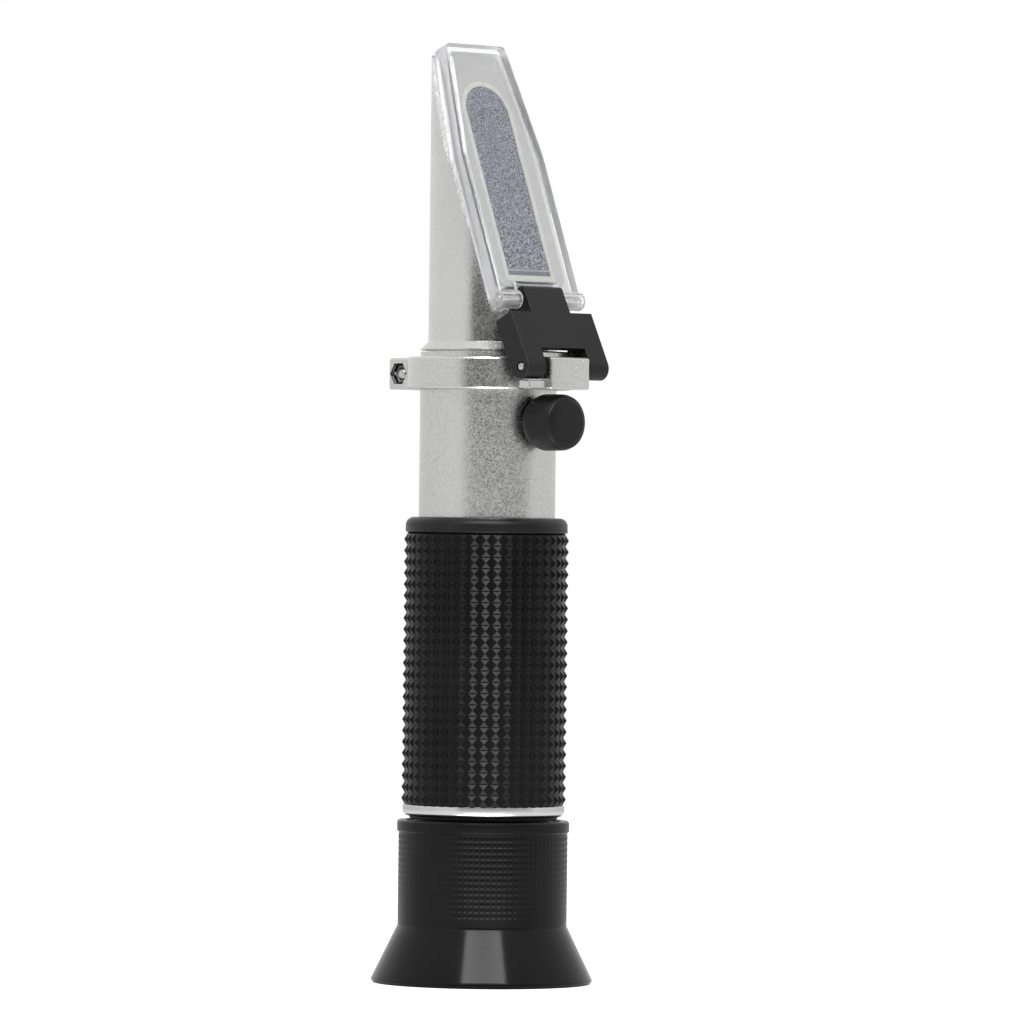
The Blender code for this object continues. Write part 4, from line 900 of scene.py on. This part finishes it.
bracket_half, leg_radius, leg_gap_half, pin_distance = 10.3, 2.15, 5.65, 13.574
tongue_top, shoulder = pin_distance + 2.0, pin_distance - 3.5
leg_end = ring_arc(leg_radius, math.pi, 2 * math.pi, 20)
tongue_end = [(leg_radius, 1.0), (leg_radius, tongue_top), (-leg_radius, tongue_top), (-leg_radius, 1.0)]
side_view = leg_end + rounded(tongue_end, [0, 0.9, 0, 0], 6)[1:-1]
bracket = extruded("cast_cover_bracket", side_view, -bracket_half, bracket_half, on_bracket)
shoulder_cuts = []
for side in (-1, 1):
    near, far = side * 4.9, side * 13
    corner = [(near, shoulder), (far, shoulder), (far, 20), (near, 20)]
    shoulder_cuts.append(extruded("shoulder_cut", corner, -4, 4, across_bracket))
notch = rod("notch", 3.6, -leg_gap_half, leg_gap_half, on_bracket, (0, 0), 96)
relief_cut = block("relief_cut", (-4, 0, -leg_gap_half), (-0.2, 4.9, leg_gap_half), on_bracket)
leg_bore = rod("leg_bore", 0.95, -12, 12, on_bracket, (0, 0), 48)
tongue_bore = rod("tongue_bore", 1.0, -12, 12, on_bracket, (0, pin_distance), 48)
carved(bracket, cut=[*shoulder_cuts, notch, relief_cut, leg_bore, tongue_bore], edge=0.32, segments=2)
paint, paint_tree, paint_shader, paint_place = start_finish("charcoal_paint")
paint_orange = noise(paint_tree, paint_place, 1100, 3.0)
paint_worn = noise(paint_tree, paint_place, 240, 4.0)
paint_colour = tinted(paint_tree, paint_worn, (0.006, 0.006, 0.007), (0.011, 0.011, 0.012))
finished(paint_tree, paint_shader, paint_colour, spread(paint_tree, paint_worn, 0.40, 0.52))
paint_shader.inputs["Specular IOR Level"].default_value = 0.3
relief(paint_tree, paint_shader, paint_orange, 0.02)
dress(bracket, paint, "bracket", "black_bracket", "cover_bracket")
# The bevel faces get a lighter, less rough colour: a painted highlight along the bracket's edges.
painted_edge_highlight = mottled("edge_highlight_paint", (0.02, 0.02, 0.021), (0.10, 0.10, 0.10), (0.42, 0.28), 500, 0.01, 4.0)
bracket.data.materials.append(painted_edge_highlight)
least_lean, most_lean = 0.2, 0.95
for face in bracket.data.polygons:
    if least_lean < abs(face.normal.y) < most_lean:
        face.material_index = 1
bracket_pin = rod("bracket_hinge_pin", 0.7, -10.15, 10.15, on_bracket, (0, 0), 48)
carved(bracket_pin, edge=0.15)
dress(bracket_pin, small_steel, "light_tube", "screw_steel", "bracket_pin")


# Calibration cap, screw and bush. The cap is a soft black rubber plug, moulded barrel shaped with a step
# round its front edge. It snaps over the brass bush and keeps the brass screw from being turned by chance.
# The bush is given the black finish of the inner rings: painted shade at the cap's foot.
cap_bore, cap_foot, cap_floor, cap_front = 3.7, 12.67, 18.42, 20.72
cap_outline = [(cap_bore, cap_foot), (3.85, cap_foot), (4.35, 13.15), (5.1, 14.7), (5.1, 17.2), (5.05, 19.1)]
cap_outline += [(4.72, 20.15), (3.6, 20.6), (3.5, 20.5), (3.35, 20.6), (0, cap_front), (0, cap_floor)]
cap_outline += [(cap_bore, cap_floor)]
cap_profile = rounded(cap_outline, [0, 0.05, 1.0, 2, 3, 1.0, 0.7, 0.12, 0.05, 0.1, 0, 0, 0.3], 6)
cap = turned("rubber_calibration_cap", cap_profile, 128, along_x, (0, bush_height))
cap_rubber = moulded_rubber("cap_rubber", (0.006, 0.006, 0.0065), (0.010, 0.010, 0.0105), 0.46, 900, 0.01)
dress(cap, cap_rubber, "cap", "black_rubber", "calibration_cap")
refinish(turned_brass, "calibration_screw")
# The bush's black finish is painted shade where it shows at the cap's foot.
refinish(inner_black, "calibration_bush")


# Eyecup. Soft black rubber, moulded: a flared shade below, a barrel with a fine square grain, and a
# bead at its top. The turning ring is glued inside, so that twisting the cup focuses the scale.
bead_radius, cup_top, cup_bore = 15.63, 29.55, 14.15
web_foot, web_top, eye_hole = 10.5, 11.5, 9.0
cup_outline = [(18.1, 0), (19.6, 0), (20.15, 0.6), (19.875, 1.2), (15.35, web_foot), (15.3, 27.32)]
cup_outline += [(bead_radius, 27.6), (bead_radius, 29.27), (15.35, cup_top), (cup_bore, cup_top)]
cup_outline += [(cup_bore, web_top), (eye_hole, web_top), (eye_hole, web_foot), (13.4, web_foot), (18.65, 1.2)]
cup_radii = [0.1, 0.3, 0.35, 0.8, 0.9, 0.1, 0.2, 0.2, 0.15, 0.15, 0.2, 0.2, 0.15, 0.5, 0.5]
cup_core = turned("moulded_eyecup", rounded(cup_outline, cup_radii, 5), 192)
cup_rubber = moulded_rubber("cup_rubber", (0.003, 0.003, 0.0035), (0.005, 0.005, 0.0055), 0.2, 1300, 0.004, 0.175)
cup_tree = cup_rubber.node_tree
cup_height = cup_tree.nodes.new("ShaderNodeSeparateXYZ")
cup_tree.links.new(cup_tree.nodes["Texture Coordinate"].outputs["Object"], cup_height.inputs[0])
flare_top, barrel_foot = 9.5 * mm, 11.8 * mm
barrel_dull = spread(cup_tree, cup_height.outputs["Z"], 0.14, 0.26, flare_top, barrel_foot)
cup_tree.links.new(barrel_dull, cup_tree.nodes["Principled BSDF"].inputs["Roughness"])
eyecup = grown(
    cup_core,
    skin_tree,
    cup_rubber,
    math.radians(25),
    Rows=14,
    Columns=92,
    Core_Radius=0.0153,
    Tip_Radius=0.015345,
    Foot=0.0121,
    Pitch=0.0010679,
    Fill=0.86,
    Girth=0.86,
    Blunt=0.5,
)
dress(eyecup, cup_rubber, "focusing", "black_rubber", "eyecup")
refinish(inner_black, "focus_ring")
